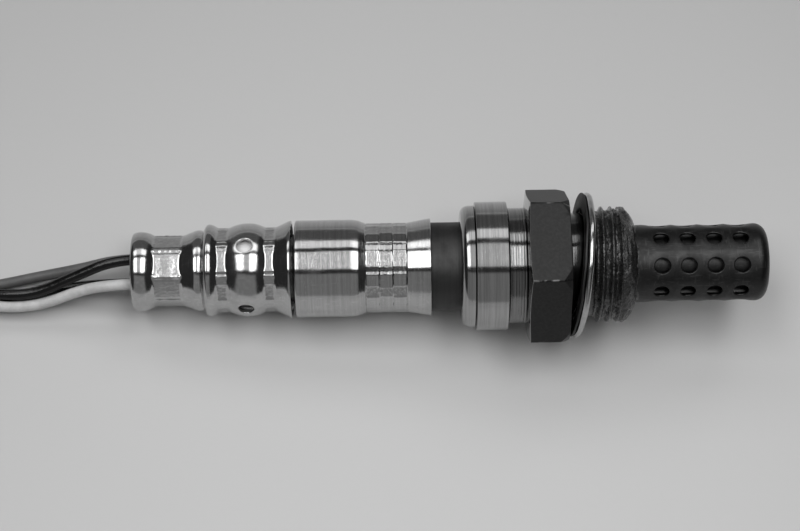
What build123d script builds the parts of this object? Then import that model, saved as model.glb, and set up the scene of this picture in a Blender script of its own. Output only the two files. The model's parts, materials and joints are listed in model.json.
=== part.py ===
from build123d import *
import math
import os

# Heated oxygen sensor with four leads and its harness, at rest on a flat surface.
# The sensor is modelled along +X: station 0 is the rear rim of the filter cover, and
# stations grow towards the closed end of the protection tube. It is then laid down the
# way it comes to rest, on the small ridge of the filter cover and on one hexagon flat.
# All sizes are in millimetres. Angles round the axis are measured from +Z towards +Y.

# Fits between pieces, and the smallest rounding of an inner corner
sliding_gap = 0.05
loose_gap = 0.15
least_corner = 0.1

# Filter cover: the drawn sheet cover at the rear
cover_wall = 0.4
rim_radius = 5.9
flange_radius = 6.2
rim_to_flange = 0.9
flange_to_grip = 2.5
grip_radius = 5.47
grip_length = 4.3
grip_to_bulge = 2.5
bulge_radius = 6.33
bulge_to_valley = 0.8
valley_radius = 6.2
valley_to_ridge = 0.8
ridge_radius = 7.2
ridge_to_groove = 1.2
groove_radius = 6.55
groove_length = 1.5
groove_to_vents = 3.2
vent_bulge_radius = 7.3
vents_to_groove = 2.7
groove_to_mouth = 2.8
mouth_radius = 7.6
vent_hole_radius = 1.22
vent_angle = 13.0
vent_count = 4

# Crimps: flats pressed by a ring of jaws, with a ridge left between each two
jaw_count = 8
jaw_ridge_angle = 16.0
crimp_depth = 0.25
shallow_crimp_depth = 0.12

# Rear cover: the bright sleeve and the narrow tube that carries the filter
sleeve_gap = 0.6
sleeve_wall = 0.5
sleeve_radius = 7.6
sleeve_corner = 0.5
sleeve_length = 8.8
sleeve_taper = 2.2
sleeve_crimp_radius = 6.97
crimp_band_length = 2.1
crimp_to_skirt = 3.8
skirt_radius = 7.63
filter_wall = 0.38
narrow_tube_wall = 0.45

# Front cover: the dark tube between the rear cover and the shell
front_cover_radius = 6.95
front_cover_wall = 0.45
front_cover_exposed = 4.55
front_cover_flange_radius = 8.1
front_cover_flange_length = 0.5

# Shell: the turned body with the hexagon and the thread
shoulder_radius = 9.5
shoulder_corner = 1.6
shoulder_length = 2.25
parting_groove_width = 0.12
parting_groove_depth = 0.25
ring_radius = 10.05
ring_length = 4.93
neck_radius = 9.05
neck_length = 2.85
hexagon_across_flats = 22.0
hexagon_rear_bevel = 0.5
hexagon_length = 6.1
hexagon_front_chamfer = 1.3
hexagon_front_bevel_width = 0.85
relief_radius = 8.1
relief_length = 3.6
thread_radius = 9.0
thread_lead_in = 0.25
thread_length = 4.2
thread_end_chamfer = 1.5
thread_end_radius = 8.0
rim_lip_radius = 7.05
rim_lip_length = 1.3
counterbore_radius = 8.2
main_bore_radius = 6.5
seat_bore_radius = 5.0
seat_land_length = 1.6
tube_recess_radius = 6.85
tube_recess_length = 0.9
front_lip_length = 2.3

# Gasket: a ring of folded sheet, loose between the hexagon and the thread
gasket_bore_play = 0.65
gasket_width = 2.65
gasket_thickness = 1.5
gasket_sheet = 0.3
gasket_fold_gap = 0.1
gasket_edge_step = 0.15
gasket_lean = 4.0
gasket_tip_lean = 4.5
gasket_drop = 0.2
gasket_clearance = 0.08

# Thread compound smeared over the end of the thread
compound_start_share = 0.17
compound_thickness = 0.3
compound_overhang = 1.6
compound_end_radius = 6.4

# Protection tubes round the sensing element
tube_radius = 6.05
tube_wall = 0.4
tube_exposed = 21.7
tube_end_corner = 1.8
tube_flange_radius = 6.75
tube_hole_radius = 1.2
tube_hole_first = 5.0
tube_hole_pitch = 4.1
tube_hole_columns = 4
tube_hole_rows = 8
tube_hole_angle = 21.6
inner_tube_radius = 4.7
inner_tube_wall = 0.35
inner_tube_corner = 1.3
inner_tube_end_gap = 0.9
inner_tube_hole_radius = 0.8
inner_tube_hole_columns = 3
inner_tube_hole_rows = 6

# Sensing element, heater and seals inside the shell
element_tip_gap = 1.2
element_tip_radius = 2.75
element_neck_radius = 4.0
element_shank_radius = 3.0
element_flange_radius = 6.3
element_flange_length = 4.7
element_flange_slope = 1.0
element_tail_length = 10.2
element_bore_radius = 1.62
element_tip_wall = 2.4
element_taper_length = 18.0
heater_radius = 1.2
heater_tail_length = 4.4
heater_end_gap = 0.8
washer_thickness = 0.3
washer_inner_radius = 5.1
talc_length = 6.15
insulator_ring_bore = 3.5
insulator_ring_head = 1.25
caulking_length = 3.1

# Ceramic terminal insulator and its spring clip
terminal_insulator_rear = 0.9
terminal_insulator_length = 19.3
terminal_flange_length = 2.7
terminal_hole_radius = 1.1
spring_thickness = 0.3
spring_slot_angle = 60.0

# Grommet, leads and contacts
grommet_recess = 1.0
grommet_nose = 2.1
lead_radius = 0.85
lead_circle_radius = 2.7
lead_angle = 25.0
lead_inner_length = 17.3
conductor_radius = 0.45
conductor_length = 3.0
barrel_outer_radius = 0.95
barrel_length = 3.8
barrel_overlap = 0.5
strip_thickness = 0.3
strip_width = 1.3
heater_contact_bend = 2.4
signal_sleeve_length = 12.0
signal_sleeve_wall = 0.28
signal_sleeve_overhang = 4.6
ground_sleeve_length = 6.0
ground_sleeve_wall = 0.3
ground_sleeve_overhang = 2.2

# Harness: braided sleeve, hank, tie and connector. The frame of these sizes stands on
# the surface below the centre of the rear rim, with x growing towards the sensor.
arc_share = 0.45
lead_straight_out = 3.9
boot_radius = 2.75
boot_length = 6.0
boot_corner = 0.5
boot_rear_x = -31.4
boot_y = -3.0
lead_bundle_offset = 0.95
lead_straight_in = 4.4
cord_straight = 5.2
harness_radius = 2.4
hank_clearance = 0.05
hank_run_length = 72.0
hank_turn_radius = 14.4
hank_tail_run = 12.0
hank_start_x = -67.6
hank_turn_x = -65.9
hank_start_y = -8.05
tie_wall = 0.45
tie_length = 4.0
tie_x = -71.0
tie_buckle_length = 5.0
tie_buckle_width = 3.6
tie_buckle_height = 1.6
connector_length = 22.0
connector_width = 15.0
connector_height = 12.6
connector_corner = 2.2
connector_wall = 1.3
connector_collar_length = 7.0
connector_collar_radius = 4.2
connector_core_width = 10.4
connector_core_height = 8.0
connector_core_recess = 1.2
connector_mouth_depth = 9.0
connector_seal_length = 3.0
connector_latch_length = 15.0
connector_latch_width = 5.0
connector_latch_height = 1.1
connector_latch_gap = 0.9
connector_latch_root = 3.5
connector_lock_length = 4.5
connector_lock_width = 8.0
connector_lock_height = 0.9
terminal_pitch_y = 4.6
terminal_pitch_z = 3.8
terminal_slot = 1.7
terminal_size = 1.6
terminal_wall = 0.3
terminal_slot_depth = 7.0
terminal_length = 6.0

# Stations along the axis, from the rear rim forwards
s_flange = rim_to_flange
s_grip = s_flange + flange_to_grip
s_grip_end = s_grip + grip_length
s_bulge = s_grip_end + grip_to_bulge
s_valley = s_bulge + bulge_to_valley
s_ridge = s_valley + valley_to_ridge
s_groove_a = s_ridge + ridge_to_groove
s_groove_a_end = s_groove_a + groove_length
s_vents = s_groove_a_end + groove_to_vents
s_groove_b = s_vents + vents_to_groove
s_groove_b_end = s_groove_b + groove_length
s_mouth = s_groove_b_end + groove_to_mouth
s_sleeve = s_mouth + sleeve_gap
s_sleeve_end = s_sleeve + sleeve_length
s_crimp = s_sleeve_end + sleeve_taper
s_crimp_end = s_crimp + 3 * crimp_band_length
s_skirt = s_crimp_end + crimp_to_skirt
s_shell = s_skirt + front_cover_exposed
s_ring = s_shell + shoulder_length + parting_groove_width
s_ring_end = s_ring + ring_length
s_neck_end = s_ring_end + neck_length
s_hexagon = s_neck_end + hexagon_rear_bevel
s_hexagon_front = s_hexagon + hexagon_length
s_thread = s_hexagon_front + relief_length
s_thread_end = s_thread + thread_length
s_shell_front = s_thread_end + thread_end_chamfer
s_tip = s_shell_front + tube_exposed

# Stations inside, set from the seats in the shell
s_recess_front = s_shell_front - front_lip_length
s_recess = s_recess_front - tube_recess_length
s_seat = s_recess - seat_land_length
s_element_flange_front = s_seat - washer_thickness
s_element_flange = s_element_flange_front - element_flange_length
s_element_rear = s_element_flange - element_tail_length
s_talc = s_element_flange - talc_length
s_caulking = s_shell + rim_lip_length
s_cover_flange = s_caulking + caulking_length
s_cover_flange_front = s_cover_flange + front_cover_flange_length
s_counterbore_floor = s_cover_flange_front + insulator_ring_head
s_inner_tube_end = s_tip - tube_wall - inner_tube_end_gap
s_element_tip = s_inner_tube_end - inner_tube_wall - element_tip_gap
s_bore_end = s_element_tip - element_tip_wall
s_heater_front = s_bore_end - heater_end_gap
s_signal_sleeve = s_element_rear - signal_sleeve_overhang
s_heater_rear = s_signal_sleeve - heater_tail_length
s_grommet_front = s_valley + grommet_nose
s_terminal_insulator = s_sleeve + terminal_insulator_rear
s_terminal_insulator_end = s_terminal_insulator + terminal_insulator_length
s_lead_end = grommet_recess + lead_inner_length
s_conductor_end = s_lead_end + conductor_length
s_barrel = s_lead_end + sliding_gap
s_barrel_end = s_barrel + barrel_length

# Radii worked out from what each piece fits
hexagon_apothem = hexagon_across_flats / 2
hexagon_corner_radius = hexagon_apothem / math.cos(math.radians(30))
filter_outer_radius = groove_radius - crimp_depth - cover_wall - sliding_gap
filter_inner_radius = filter_outer_radius - filter_wall
narrow_tube_radius = filter_inner_radius - sliding_gap
narrow_tube_bore = narrow_tube_radius - narrow_tube_wall
front_cover_crimp_bore = (
    sleeve_crimp_radius - crimp_depth - sleeve_wall - sliding_gap - front_cover_wall
)
terminal_insulator_radius = front_cover_crimp_bore - loose_gap
terminal_flange_radius = min(sleeve_radius - sleeve_wall, front_cover_radius + loose_gap) - loose_gap
conductor_hole_radius = conductor_radius + sliding_gap
signal_sleeve_radius = element_bore_radius - sliding_gap
ground_sleeve_bore = element_shank_radius + sliding_gap
gasket_inner_radius = relief_radius + gasket_bore_play
gasket_outer_radius = gasket_inner_radius + gasket_width


def dome_centre(point_a, point_b):
    """Station of the point on the axis that is as far from two (station, radius) points."""
    (s_a, r_a), (s_b, r_b) = point_a, point_b
    return (s_b**2 + r_b**2 - s_a**2 - r_a**2) / (2 * (s_b - s_a))


def dome_station(point_a, point_b, radius):
    """Station at which the dome through two points, with its top at the rear, has a radius."""
    centre = dome_centre(point_a, point_b)
    reach = math.hypot(point_a[0] - centre, point_a[1])
    return centre - math.sqrt(reach**2 - radius**2)


# How the sensor rests: the line from the ridge to the rear edge of the lower flat
s_rest_edge = dome_station(
    (s_neck_end, neck_radius), (s_hexagon, hexagon_corner_radius), hexagon_apothem
)
rest_tilt = math.degrees(math.atan2(hexagon_apothem - ridge_radius, s_rest_edge - s_ridge))


def station_plane(station):
    """Plane square to the axis, with its x along +Y and its y along +Z."""
    return Plane(origin=(station, 0, 0), x_dir=(0, 1, 0), z_dir=(1, 0, 0))


def prism(section, start, end):
    """Solid of one cross-section between two stations."""
    return extrude(station_plane(start) * section, amount=end - start)


def rod(radius, start, end):
    """Round bar on the axis between two stations."""
    return prism(Circle(radius), start, end)


def ring(outer_radius, inner_radius, start, end):
    """Round ring on the axis between two stations."""
    return prism(Circle(outer_radius) - Circle(inner_radius), start, end)


def turned(*edges):
    """Solid turned round the axis from the edges of a closed (station, radius) outline."""
    return revolve(make_face(edges), Axis.X)


def turned_outline(*points):
    """Solid turned round the axis from a closed outline of straight lines."""
    return turned(*Polyline(*points, close=True).edges())


def flowing_edges(points):
    """Edges through points at each of which the outline runs along the axis."""
    edges = []
    for (s_a, r_a), (s_b, r_b) in zip(points, points[1:]):
        middle = (s_a + s_b) / 2
        if math.isclose(r_a, r_b):
            edges.append(Line((s_a, r_a), (s_b, r_b)))
        else:
            edges.append(Bezier((s_a, r_a), (middle, r_a), (middle, r_b), (s_b, r_b)))
    return edges


def filled(edges, start, end):
    """Solid turned from an outline that is closed down to the axis at both ends."""
    (s_a, r_a), (s_b, r_b) = start, end
    sides = Polyline((s_b, r_b), (s_b, 0), (s_a, 0), (s_a, r_a)).edges()
    return turned(*edges, *sides)


def at_angle(angle, shape):
    """A shape turned about the axis, from +Z towards +Y."""
    return Rot(-angle, 0, 0) * shape


def radial_holes(radius, reach, stations, angle, count):
    """Round cutters that point outwards from the axis, in equal rows round it."""
    cutters = []
    for station in stations:
        for row in range(count):
            cutter = Pos(station, 0, 0) * extrude(Circle(radius), amount=reach)
            cutters.append(at_angle(angle + row * 360 / count, cutter))
    return cutters


def crimp_cutter(start, end, flat_radius):
    """What the jaws press away between two stations: all that lies outside the flats."""
    reach = 2 * flat_radius
    flats = RegularPolygon(flat_radius, jaw_count, major_radius=False, rotation=90 - jaw_ridge_angle)
    return prism(Circle(reach) - flats, start, end)


def cover_form(inset):
    """Filled form of the filter cover, its outline moved inwards by an inset."""
    outline = [
        (0, rim_radius),
        (s_flange, flange_radius),
        (s_grip, grip_radius),
        (s_grip_end, grip_radius),
        (s_bulge, bulge_radius),
        (s_valley, valley_radius),
        (s_ridge, ridge_radius),
        (s_groove_a, groove_radius),
        (s_groove_a_end, groove_radius),
        (s_vents, vent_bulge_radius),
        (s_groove_b, groove_radius),
        (s_groove_b_end, groove_radius),
        (s_mouth, mouth_radius),
    ]
    inset_outline = [(s, r - inset) for s, r in outline]
    form = filled(flowing_edges(inset_outline), inset_outline[0], inset_outline[-1])
    form -= crimp_cutter(s_grip, s_grip_end, grip_radius - crimp_depth - inset)
    form -= crimp_cutter(s_groove_a, s_groove_a_end, groove_radius - crimp_depth - inset)
    form -= crimp_cutter(s_groove_b, s_groove_b_end, groove_radius - crimp_depth - inset)
    return form


def sleeve_form(inset):
    """Filled form of the wide part of the rear cover, moved inwards by an inset."""
    rear = s_sleeve + min(inset, sleeve_wall)
    corner = max(sleeve_corner - inset, least_corner)
    radius = sleeve_radius - inset
    outline = [
        (rear + corner, radius),
        (s_sleeve_end, radius),
        (s_crimp, sleeve_crimp_radius - inset),
        (s_crimp_end, sleeve_crimp_radius - inset),
        (s_skirt, skirt_radius - inset),
    ]
    rounded = Bezier((rear, radius - corner), (rear, radius), (rear + corner, radius))
    form = filled([rounded, *flowing_edges(outline)], (rear, radius - corner), outline[-1])
    for band, depth in enumerate((crimp_depth, shallow_crimp_depth, crimp_depth)):
        start = s_crimp + band * crimp_band_length
        form -= crimp_cutter(start, start + crimp_band_length, sleeve_crimp_radius - depth - inset)
    return form


def filter_cover():
    """Drawn cover with three rings of crimps and vents over the filter."""
    cover = cover_form(0) - cover_form(cover_wall)
    return cover - radial_holes(vent_hole_radius, 2 * mouth_radius, [s_vents], vent_angle, vent_count)


def filter_sleeve():
    """White porous tube clamped between the filter cover and the narrow tube."""
    return ring(filter_outer_radius, filter_inner_radius, s_groove_a, s_groove_b_end)


def rear_cover():
    """Bright sleeve that steps down to the narrow tube inside the filter cover."""
    cover = sleeve_form(0) + rod(narrow_tube_radius, s_valley, s_sleeve + sleeve_wall)
    cover -= sleeve_form(sleeve_wall)
    cover -= rod(narrow_tube_bore, s_valley, s_sleeve + 2 * sleeve_wall)
    reach = filter_outer_radius
    return cover - radial_holes(vent_hole_radius, reach, [s_vents], vent_angle, vent_count)


def front_cover_form(inset):
    """Filled form of the dark tube, pressed in by the crimps of the rear cover."""
    inside_sleeve = sleeve_form(sleeve_wall + sliding_gap + inset)
    pressed = rod(front_cover_radius - inset, s_sleeve_end, s_skirt) & inside_sleeve
    return pressed + rod(front_cover_radius - inset, s_skirt, s_cover_flange_front)


def front_cover():
    """Dark tube with a flange that the shell's rear end holds."""
    flange = rod(front_cover_flange_radius, s_cover_flange, s_cover_flange_front)
    return front_cover_form(0) + flange - front_cover_form(front_cover_wall)


def dome_arc(point_a, point_b):
    """Slightly domed chamfer line between two (station, radius) points, centred on the axis."""
    centre = dome_centre(point_a, point_b)
    reach = math.hypot(point_a[0] - centre, point_a[1])
    angles = [math.atan2(r, s - centre) for s, r in (point_a, point_b)]
    angle = sum(angles) / len(angles)
    middle = (centre + reach * math.cos(angle), reach * math.sin(angle))
    return ThreePointArc(point_a, middle, point_b)


def hexagon_limit():
    """Turned limit of the hexagon: rear bevel and front chamfer."""
    bevel_start = (s_neck_end, neck_radius)
    rear_corner = (s_hexagon, hexagon_corner_radius)
    front_corner = (s_hexagon_front - hexagon_front_chamfer, hexagon_corner_radius)
    front_end = (s_hexagon_front, hexagon_corner_radius - hexagon_front_bevel_width)
    outline = [
        dome_arc(bevel_start, rear_corner),
        Line(rear_corner, front_corner),
        dome_arc(front_corner, front_end),
    ]
    return filled(outline, bevel_start, front_end)


def shell_body():
    """Turned outside of the shell without its hexagon, filled."""
    s_shoulder_end = s_shell + shoulder_length
    groove_floor = shoulder_radius - parting_groove_depth
    rounded = Bezier(
        (s_shell, shoulder_radius - shoulder_corner),
        (s_shell, shoulder_radius),
        (s_shell + shoulder_corner, shoulder_radius),
    )
    rest = Polyline(
        (s_shell + shoulder_corner, shoulder_radius),
        (s_shoulder_end, shoulder_radius),
        (s_shoulder_end, groove_floor),
        (s_ring, groove_floor),
        (s_ring, ring_radius),
        (s_ring_end, ring_radius),
        (s_ring_end, neck_radius),
        (s_hexagon, neck_radius),
        (s_hexagon, relief_radius),
        (s_thread, relief_radius),
        (s_thread + thread_lead_in, thread_radius),
        (s_thread_end, thread_radius),
        (s_shell_front, thread_end_radius),
    )
    start = (s_shell, shoulder_radius - shoulder_corner)
    return filled([rounded, *rest.edges()], start, (s_shell_front, thread_end_radius))


def shell_bore():
    """Stepped bore of the shell: rolled rear rim, counterbore, main bore, seat and recess."""
    bore = rod(rim_lip_radius, s_shell, s_caulking)
    bore += rod(counterbore_radius, s_caulking, s_counterbore_floor)
    bore += rod(main_bore_radius, s_counterbore_floor, s_seat)
    bore += rod(seat_bore_radius, s_seat, s_recess)
    bore += rod(tube_recess_radius, s_recess, s_recess_front)
    return bore + rod(tube_radius + sliding_gap, s_recess_front, s_shell_front)


def sensor_shell():
    """Steel body: rolled rear shoulder, ring, neck, hexagon, relief groove and thread."""
    flats = RegularPolygon(hexagon_apothem, 6, major_radius=False, rotation=0)
    hexagon = prism(flats, s_neck_end, s_hexagon_front) & hexagon_limit()
    return shell_body() + hexagon - shell_bore()


def sheet_layer(station, inner_end, outer_end):
    """Section of one flat layer of the gasket's sheet."""
    return Pos(station, (inner_end + outer_end) / 2) * Rectangle(gasket_sheet, outer_end - inner_end)


def sheet_fold(station, radius, bend, side):
    """Section of a half turn of the gasket's sheet, open towards the axis or away from it."""
    turn = Circle(bend + gasket_sheet / 2) - Circle(bend - gasket_sheet / 2)
    reach = 2 * (bend + gasket_sheet)
    return Pos(station, radius) * (turn & Pos(0, side * reach / 2) * Rectangle(reach, reach))


def gasket_ring():
    """Ring of sheet folded in three layers that hangs on the relief groove and leans a little."""
    front = (gasket_thickness - gasket_sheet) / 2
    fold = (gasket_sheet + gasket_fold_gap) / 2
    middle = 2 * fold - front
    bead = (front - middle) / 2
    fold_centre = gasket_inner_radius + gasket_sheet / 2 + fold
    bead_centre = gasket_outer_radius - gasket_sheet / 2 - bead
    section = sheet_layer(-front, fold_centre, gasket_outer_radius - gasket_edge_step)
    section += sheet_fold(fold - front, fold_centre, fold, -1)
    section += sheet_layer(middle, fold_centre, bead_centre)
    section += sheet_fold(middle + bead, bead_centre, bead, 1)
    section += sheet_layer(front, gasket_inner_radius, bead_centre)
    whole_lean = math.acos(math.cos(math.radians(gasket_lean)) * math.cos(math.radians(gasket_tip_lean)))
    lean_reach = math.sin(whole_lean) * gasket_outer_radius
    station = s_hexagon_front + gasket_clearance + lean_reach + gasket_thickness / 2
    leaning = Rot(0, 0, -gasket_lean) * Rot(0, gasket_tip_lean, 0)
    return Pos(station, 0, -gasket_drop) * leaning * revolve(section, Axis.X)


def thread_compound():
    """Compound on the end chamfer of the thread and round the root of the tube."""
    s_start = s_thread_end + compound_start_share * thread_end_chamfer
    start_radius = thread_radius - compound_start_share * (thread_radius - thread_end_radius)
    return turned_outline(
        (s_start, start_radius),
        (s_shell_front, thread_end_radius + compound_thickness),
        (s_shell_front + compound_overhang, compound_end_radius),
        (s_shell_front + compound_overhang, tube_radius + sliding_gap),
        (s_shell_front, tube_radius + sliding_gap),
        (s_shell_front, thread_end_radius),
    )


def closed_tube(radius, wall, corner, s_flange_rear, s_end):
    """Drawn tube with a flat flange at its rear and a rounded closed end."""
    body = rod(radius, s_flange_rear, s_end)
    body = fillet(body.edges().sort_by(Axis.X)[-1], corner)
    body += rod(tube_flange_radius, s_flange_rear, s_flange_rear + wall)
    hollow = rod(radius - wall, s_flange_rear, s_end - wall)
    return body - fillet(hollow.edges().sort_by(Axis.X)[-1], max(corner - wall, least_corner))


def outer_protection_tube():
    """Outer tube with its grid of gas holes."""
    tube = closed_tube(tube_radius, tube_wall, tube_end_corner, s_recess_front - tube_wall, s_tip)
    first = s_shell_front + tube_hole_first
    stations = [first + column * tube_hole_pitch for column in range(tube_hole_columns)]
    return tube - radial_holes(tube_hole_radius, 2 * tube_radius, stations, tube_hole_angle, tube_hole_rows)


def inner_protection_tube():
    """Inner tube with its holes between those of the outer one."""
    rear = s_recess_front - tube_wall - inner_tube_wall
    tube = closed_tube(inner_tube_radius, inner_tube_wall, inner_tube_corner, rear, s_inner_tube_end)
    first = s_shell_front + tube_hole_first + tube_hole_pitch / 2
    stations = [first + column * tube_hole_pitch for column in range(inner_tube_hole_columns)]
    reach = 2 * inner_tube_radius
    return tube - radial_holes(inner_tube_hole_radius, reach, stations, 0, inner_tube_hole_rows)


def sensing_element():
    """Hollow ceramic thimble: tail, flange, tapered shank and rounded tip."""
    s_taper = s_element_flange_front + seat_land_length
    s_taper_end = min(s_taper + element_taper_length, s_element_tip - element_tip_radius)
    outside = Polyline(
        (s_element_rear, element_shank_radius),
        (s_element_flange - element_flange_slope, element_shank_radius),
        (s_element_flange, element_flange_radius),
        (s_element_flange_front, element_flange_radius),
        (s_element_flange_front, element_neck_radius),
        (s_taper, element_neck_radius),
        (s_taper_end, element_tip_radius),
        (s_element_tip - element_tip_radius, element_tip_radius),
    )
    slant = element_tip_radius * math.sqrt(0.5)
    dome = ThreePointArc(
        outside @ 1,
        (s_element_tip - element_tip_radius + slant, slant),
        (s_element_tip, 0),
    )
    axis_line = Polyline((s_element_tip, 0), (s_element_rear, 0), (s_element_rear, element_shank_radius))
    return turned(*outside.edges(), dome, *axis_line.edges()) - rod(
        element_bore_radius, s_element_rear, s_bore_end
    )


def heater_rod():
    """Ceramic heater rod in the bore of the element, with a rounded front end."""
    heater = rod(heater_radius, s_heater_rear, s_heater_front)
    return fillet(heater.edges().sort_by(Axis.X)[-1], heater_radius / 2)


def packing_washer():
    """Metal washer between the element's flange and its seat."""
    return ring(main_bore_radius - sliding_gap, washer_inner_radius, s_element_flange_front, s_seat)


def talc_seal():
    """Pressed talc ring that fills the space behind the element's flange."""
    return turned_outline(
        (s_talc, ground_sleeve_bore),
        (s_talc, main_bore_radius - sliding_gap),
        (s_element_flange, main_bore_radius - sliding_gap),
        (s_element_flange, element_flange_radius + sliding_gap),
        (s_element_flange - element_flange_slope, ground_sleeve_bore),
    )


def insulator_ring():
    """Ceramic ring with a head, between the talc and the front cover's flange."""
    head = rod(front_cover_flange_radius, s_cover_flange_front, s_counterbore_floor)
    body = rod(main_bore_radius - sliding_gap, s_counterbore_floor, s_talc)
    return head + body - rod(insulator_ring_bore, s_cover_flange_front, s_talc)


def caulking_ring():
    """Ring under the shell's rolled rim that holds the front cover's flange down."""
    bore = front_cover_radius + sliding_gap
    return ring(front_cover_flange_radius, bore, s_caulking, s_cover_flange)


def lead_positions():
    """Angle round the axis of each of the four leads."""
    return {
        "black_a": lead_angle,
        "grey": lead_angle + 90,
        "black_b": lead_angle + 180,
        "white": lead_angle + 270,
    }


def lead_holes(radius, start, end):
    """Bars of one radius on the four lead lines, used to cut holes and to make leads."""
    bars = []
    for angle in lead_positions().values():
        bars.append(at_angle(angle, Pos(0, 0, lead_circle_radius) * rod(radius, start, end)))
    return bars


def grommet():
    """Rubber plug that fills the crimped end and reaches into the narrow tube."""
    plug = cover_form(cover_wall + sliding_gap) & rod(2 * ridge_radius, grommet_recess, s_valley)
    plug += rod(narrow_tube_bore - sliding_gap, s_valley, s_grommet_front)
    return plug - lead_holes(lead_radius + sliding_gap, grommet_recess, s_grommet_front)


def lead_inner_ends():
    """The leads inside the sensor: insulated through the grommet, then bare strands."""
    insulated = lead_holes(lead_radius, grommet_recess, s_lead_end)
    bare = lead_holes(conductor_radius, s_lead_end, s_conductor_end)
    return Compound(children=[(a + b).solid() for a, b in zip(insulated, bare)])


def terminal_insulator():
    """Ceramic block with four lead-line holes and a flange on the front cover's end."""
    block = rod(terminal_insulator_radius, s_terminal_insulator, s_terminal_insulator_end)
    block += rod(terminal_flange_radius, s_sleeve_end - terminal_flange_length, s_sleeve_end)
    return block - lead_holes(terminal_hole_radius, s_terminal_insulator, s_terminal_insulator_end)


def insulator_spring():
    """Open spring sleeve between the rear cover's step and the insulator's flange."""
    bore = terminal_insulator_radius + sliding_gap
    start = s_sleeve + sleeve_wall
    sleeve = ring(bore + spring_thickness, bore, start, s_sleeve_end - terminal_flange_length)
    reach = 2 * sleeve_radius
    half_slot = math.radians(spring_slot_angle / 2)
    wedge = Polyline(
        (0, 0),
        (-reach * math.sin(half_slot), -reach * math.cos(half_slot)),
        (reach * math.sin(half_slot), -reach * math.cos(half_slot)),
        close=True,
    )
    return sleeve - prism(make_face(wedge), start, s_sleeve_end)


def contact(angle, bend_start, bend_end, strip_end, end_radius):
    """Crimp barrel and flat strip on one lead line, bent to an inner or outer radius."""
    barrel = Pos(0, 0, lead_circle_radius) * ring(
        barrel_outer_radius, conductor_hole_radius, s_barrel, s_barrel_end
    )
    start = s_barrel_end - barrel_overlap
    lower = [
        (start, lead_circle_radius - strip_thickness / 2),
        (bend_start, lead_circle_radius - strip_thickness / 2),
        (bend_end, end_radius),
        (strip_end, end_radius),
    ]
    upper = [(s, r + strip_thickness) for s, r in reversed(lower)]
    profile = make_face(Plane.XZ * Polyline(*lower, *upper, close=True))
    strip = extrude(profile, amount=strip_width / 2, both=True)
    return at_angle(angle, barrel + strip)


def heater_contact(angle):
    """Strip that presses on one side of the heater rod's rear end."""
    s_touch = s_heater_rear + heater_contact_bend
    s_end = s_signal_sleeve - loose_gap
    return contact(angle, s_heater_rear, s_touch, s_end, heater_radius + sliding_gap)


def signal_contact():
    """Contact whose sleeve sits in the bore of the element, round the heater."""
    bore = signal_sleeve_radius - signal_sleeve_wall
    sleeve = ring(signal_sleeve_radius, bore, s_signal_sleeve, s_signal_sleeve + signal_sleeve_length)
    s_join = s_signal_sleeve + signal_sleeve_overhang / 3
    strip = contact(
        lead_positions()["grey"], s_terminal_insulator_end, s_signal_sleeve, s_join,
        signal_sleeve_radius - signal_sleeve_wall / 2,
    )
    return sleeve + strip


def ground_contact():
    """Contact whose sleeve grips the outside of the element's tail."""
    s_rear = s_element_rear - ground_sleeve_overhang
    outer = ground_sleeve_bore + ground_sleeve_wall
    sleeve = ring(outer, ground_sleeve_bore, s_rear, s_rear + ground_sleeve_length)
    strip = contact(
        lead_positions()["white"], s_terminal_insulator_end, s_rear, s_rear + ground_sleeve_overhang / 2,
        ground_sleeve_bore + ground_sleeve_wall / 2,
    )
    return sleeve + strip


# Way points of the leads and of the harness sleeve, in the harness frame
lead_ways = {
    "black_a": [(-9.4, -0.95, 6.3), (-15.4, -3.0, 3.9), (-21.2, -3.0, 3.1)],
    "grey": [(-8.4, 1.35, 3.6), (-14.4, 0.75, 1.75), (-20.4, -0.4, 1.05)],
    "white": [(-8.4, -2.85, 5.5), (-14.2, -4.5, 3.1), (-20.4, -4.9, 2.3)],
    "black_b": [(-8.4, -1.05, 2.2), (-14.2, -1.9, 1.15), (-20.4, -2.95, 0.92)],
}
bundle_places = {
    "black_a": (lead_bundle_offset, lead_bundle_offset),
    "grey": (lead_bundle_offset, -lead_bundle_offset),
    "white": (-lead_bundle_offset, lead_bundle_offset),
    "black_b": (-lead_bundle_offset, -lead_bundle_offset),
}
sleeve_way = [(-48.9, -4.05, 2.8), (-56.4, -7.0, 2.87)]
tail_way = [(-90.1, -2.3, 3.75), (-97.9, 0.7, 5.5), (-105.5, 3.3, 6.3)]
tail_end = (-110.7, 4.7, 6.3)

# Places in the harness frame that the sizes give
boot_front_x = boot_rear_x - boot_length
boot_z = boot_radius
hank_z = tie_wall + sliding_gap + harness_radius
hank_inner_y = hank_start_y + 2 * harness_radius + hank_clearance
hank_far_y = hank_inner_y + 2 * hank_turn_radius
hank_left_x = hank_turn_x - hank_run_length
hank_end_x = hank_turn_x - hank_tail_run


def cord_path(points):
    """Straight runs joined by tangent arcs, each as large as its two runs allow."""
    radii = []
    for before, corner, after in zip(points, points[1:], points[2:]):
        run_in = Vector(*corner) - Vector(*before)
        run_out = Vector(*after) - Vector(*corner)
        half_turn = math.radians(run_in.get_angle(run_out) / 2)
        radii.append(arc_share * min(run_in.length, run_out.length) / math.tan(half_turn))
    return FilletPolyline(*points, radius=radii), radii


def cord_tube(name, points, radius):
    """Round tube along a cord's way points; its bend radii and length are printed."""
    path, radii = cord_path(points)
    section = Plane(origin=path @ 0, z_dir=path % 0) * Circle(radius)
    tube = sweep(section, path=path)
    shown = ", ".join(f"{bend:.1f}" for bend in radii)
    expected = math.pi * radius**2 * path.length
    rounded = [tuple(round(value, 2) for value in Vector(*point)) for point in points]
    print(f"{name}: length {path.length:.1f}, radii {shown}, volume {tube.volume / expected:.4f} of expected")
    print(f"{name}: points {rounded}")
    return tube


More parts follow.
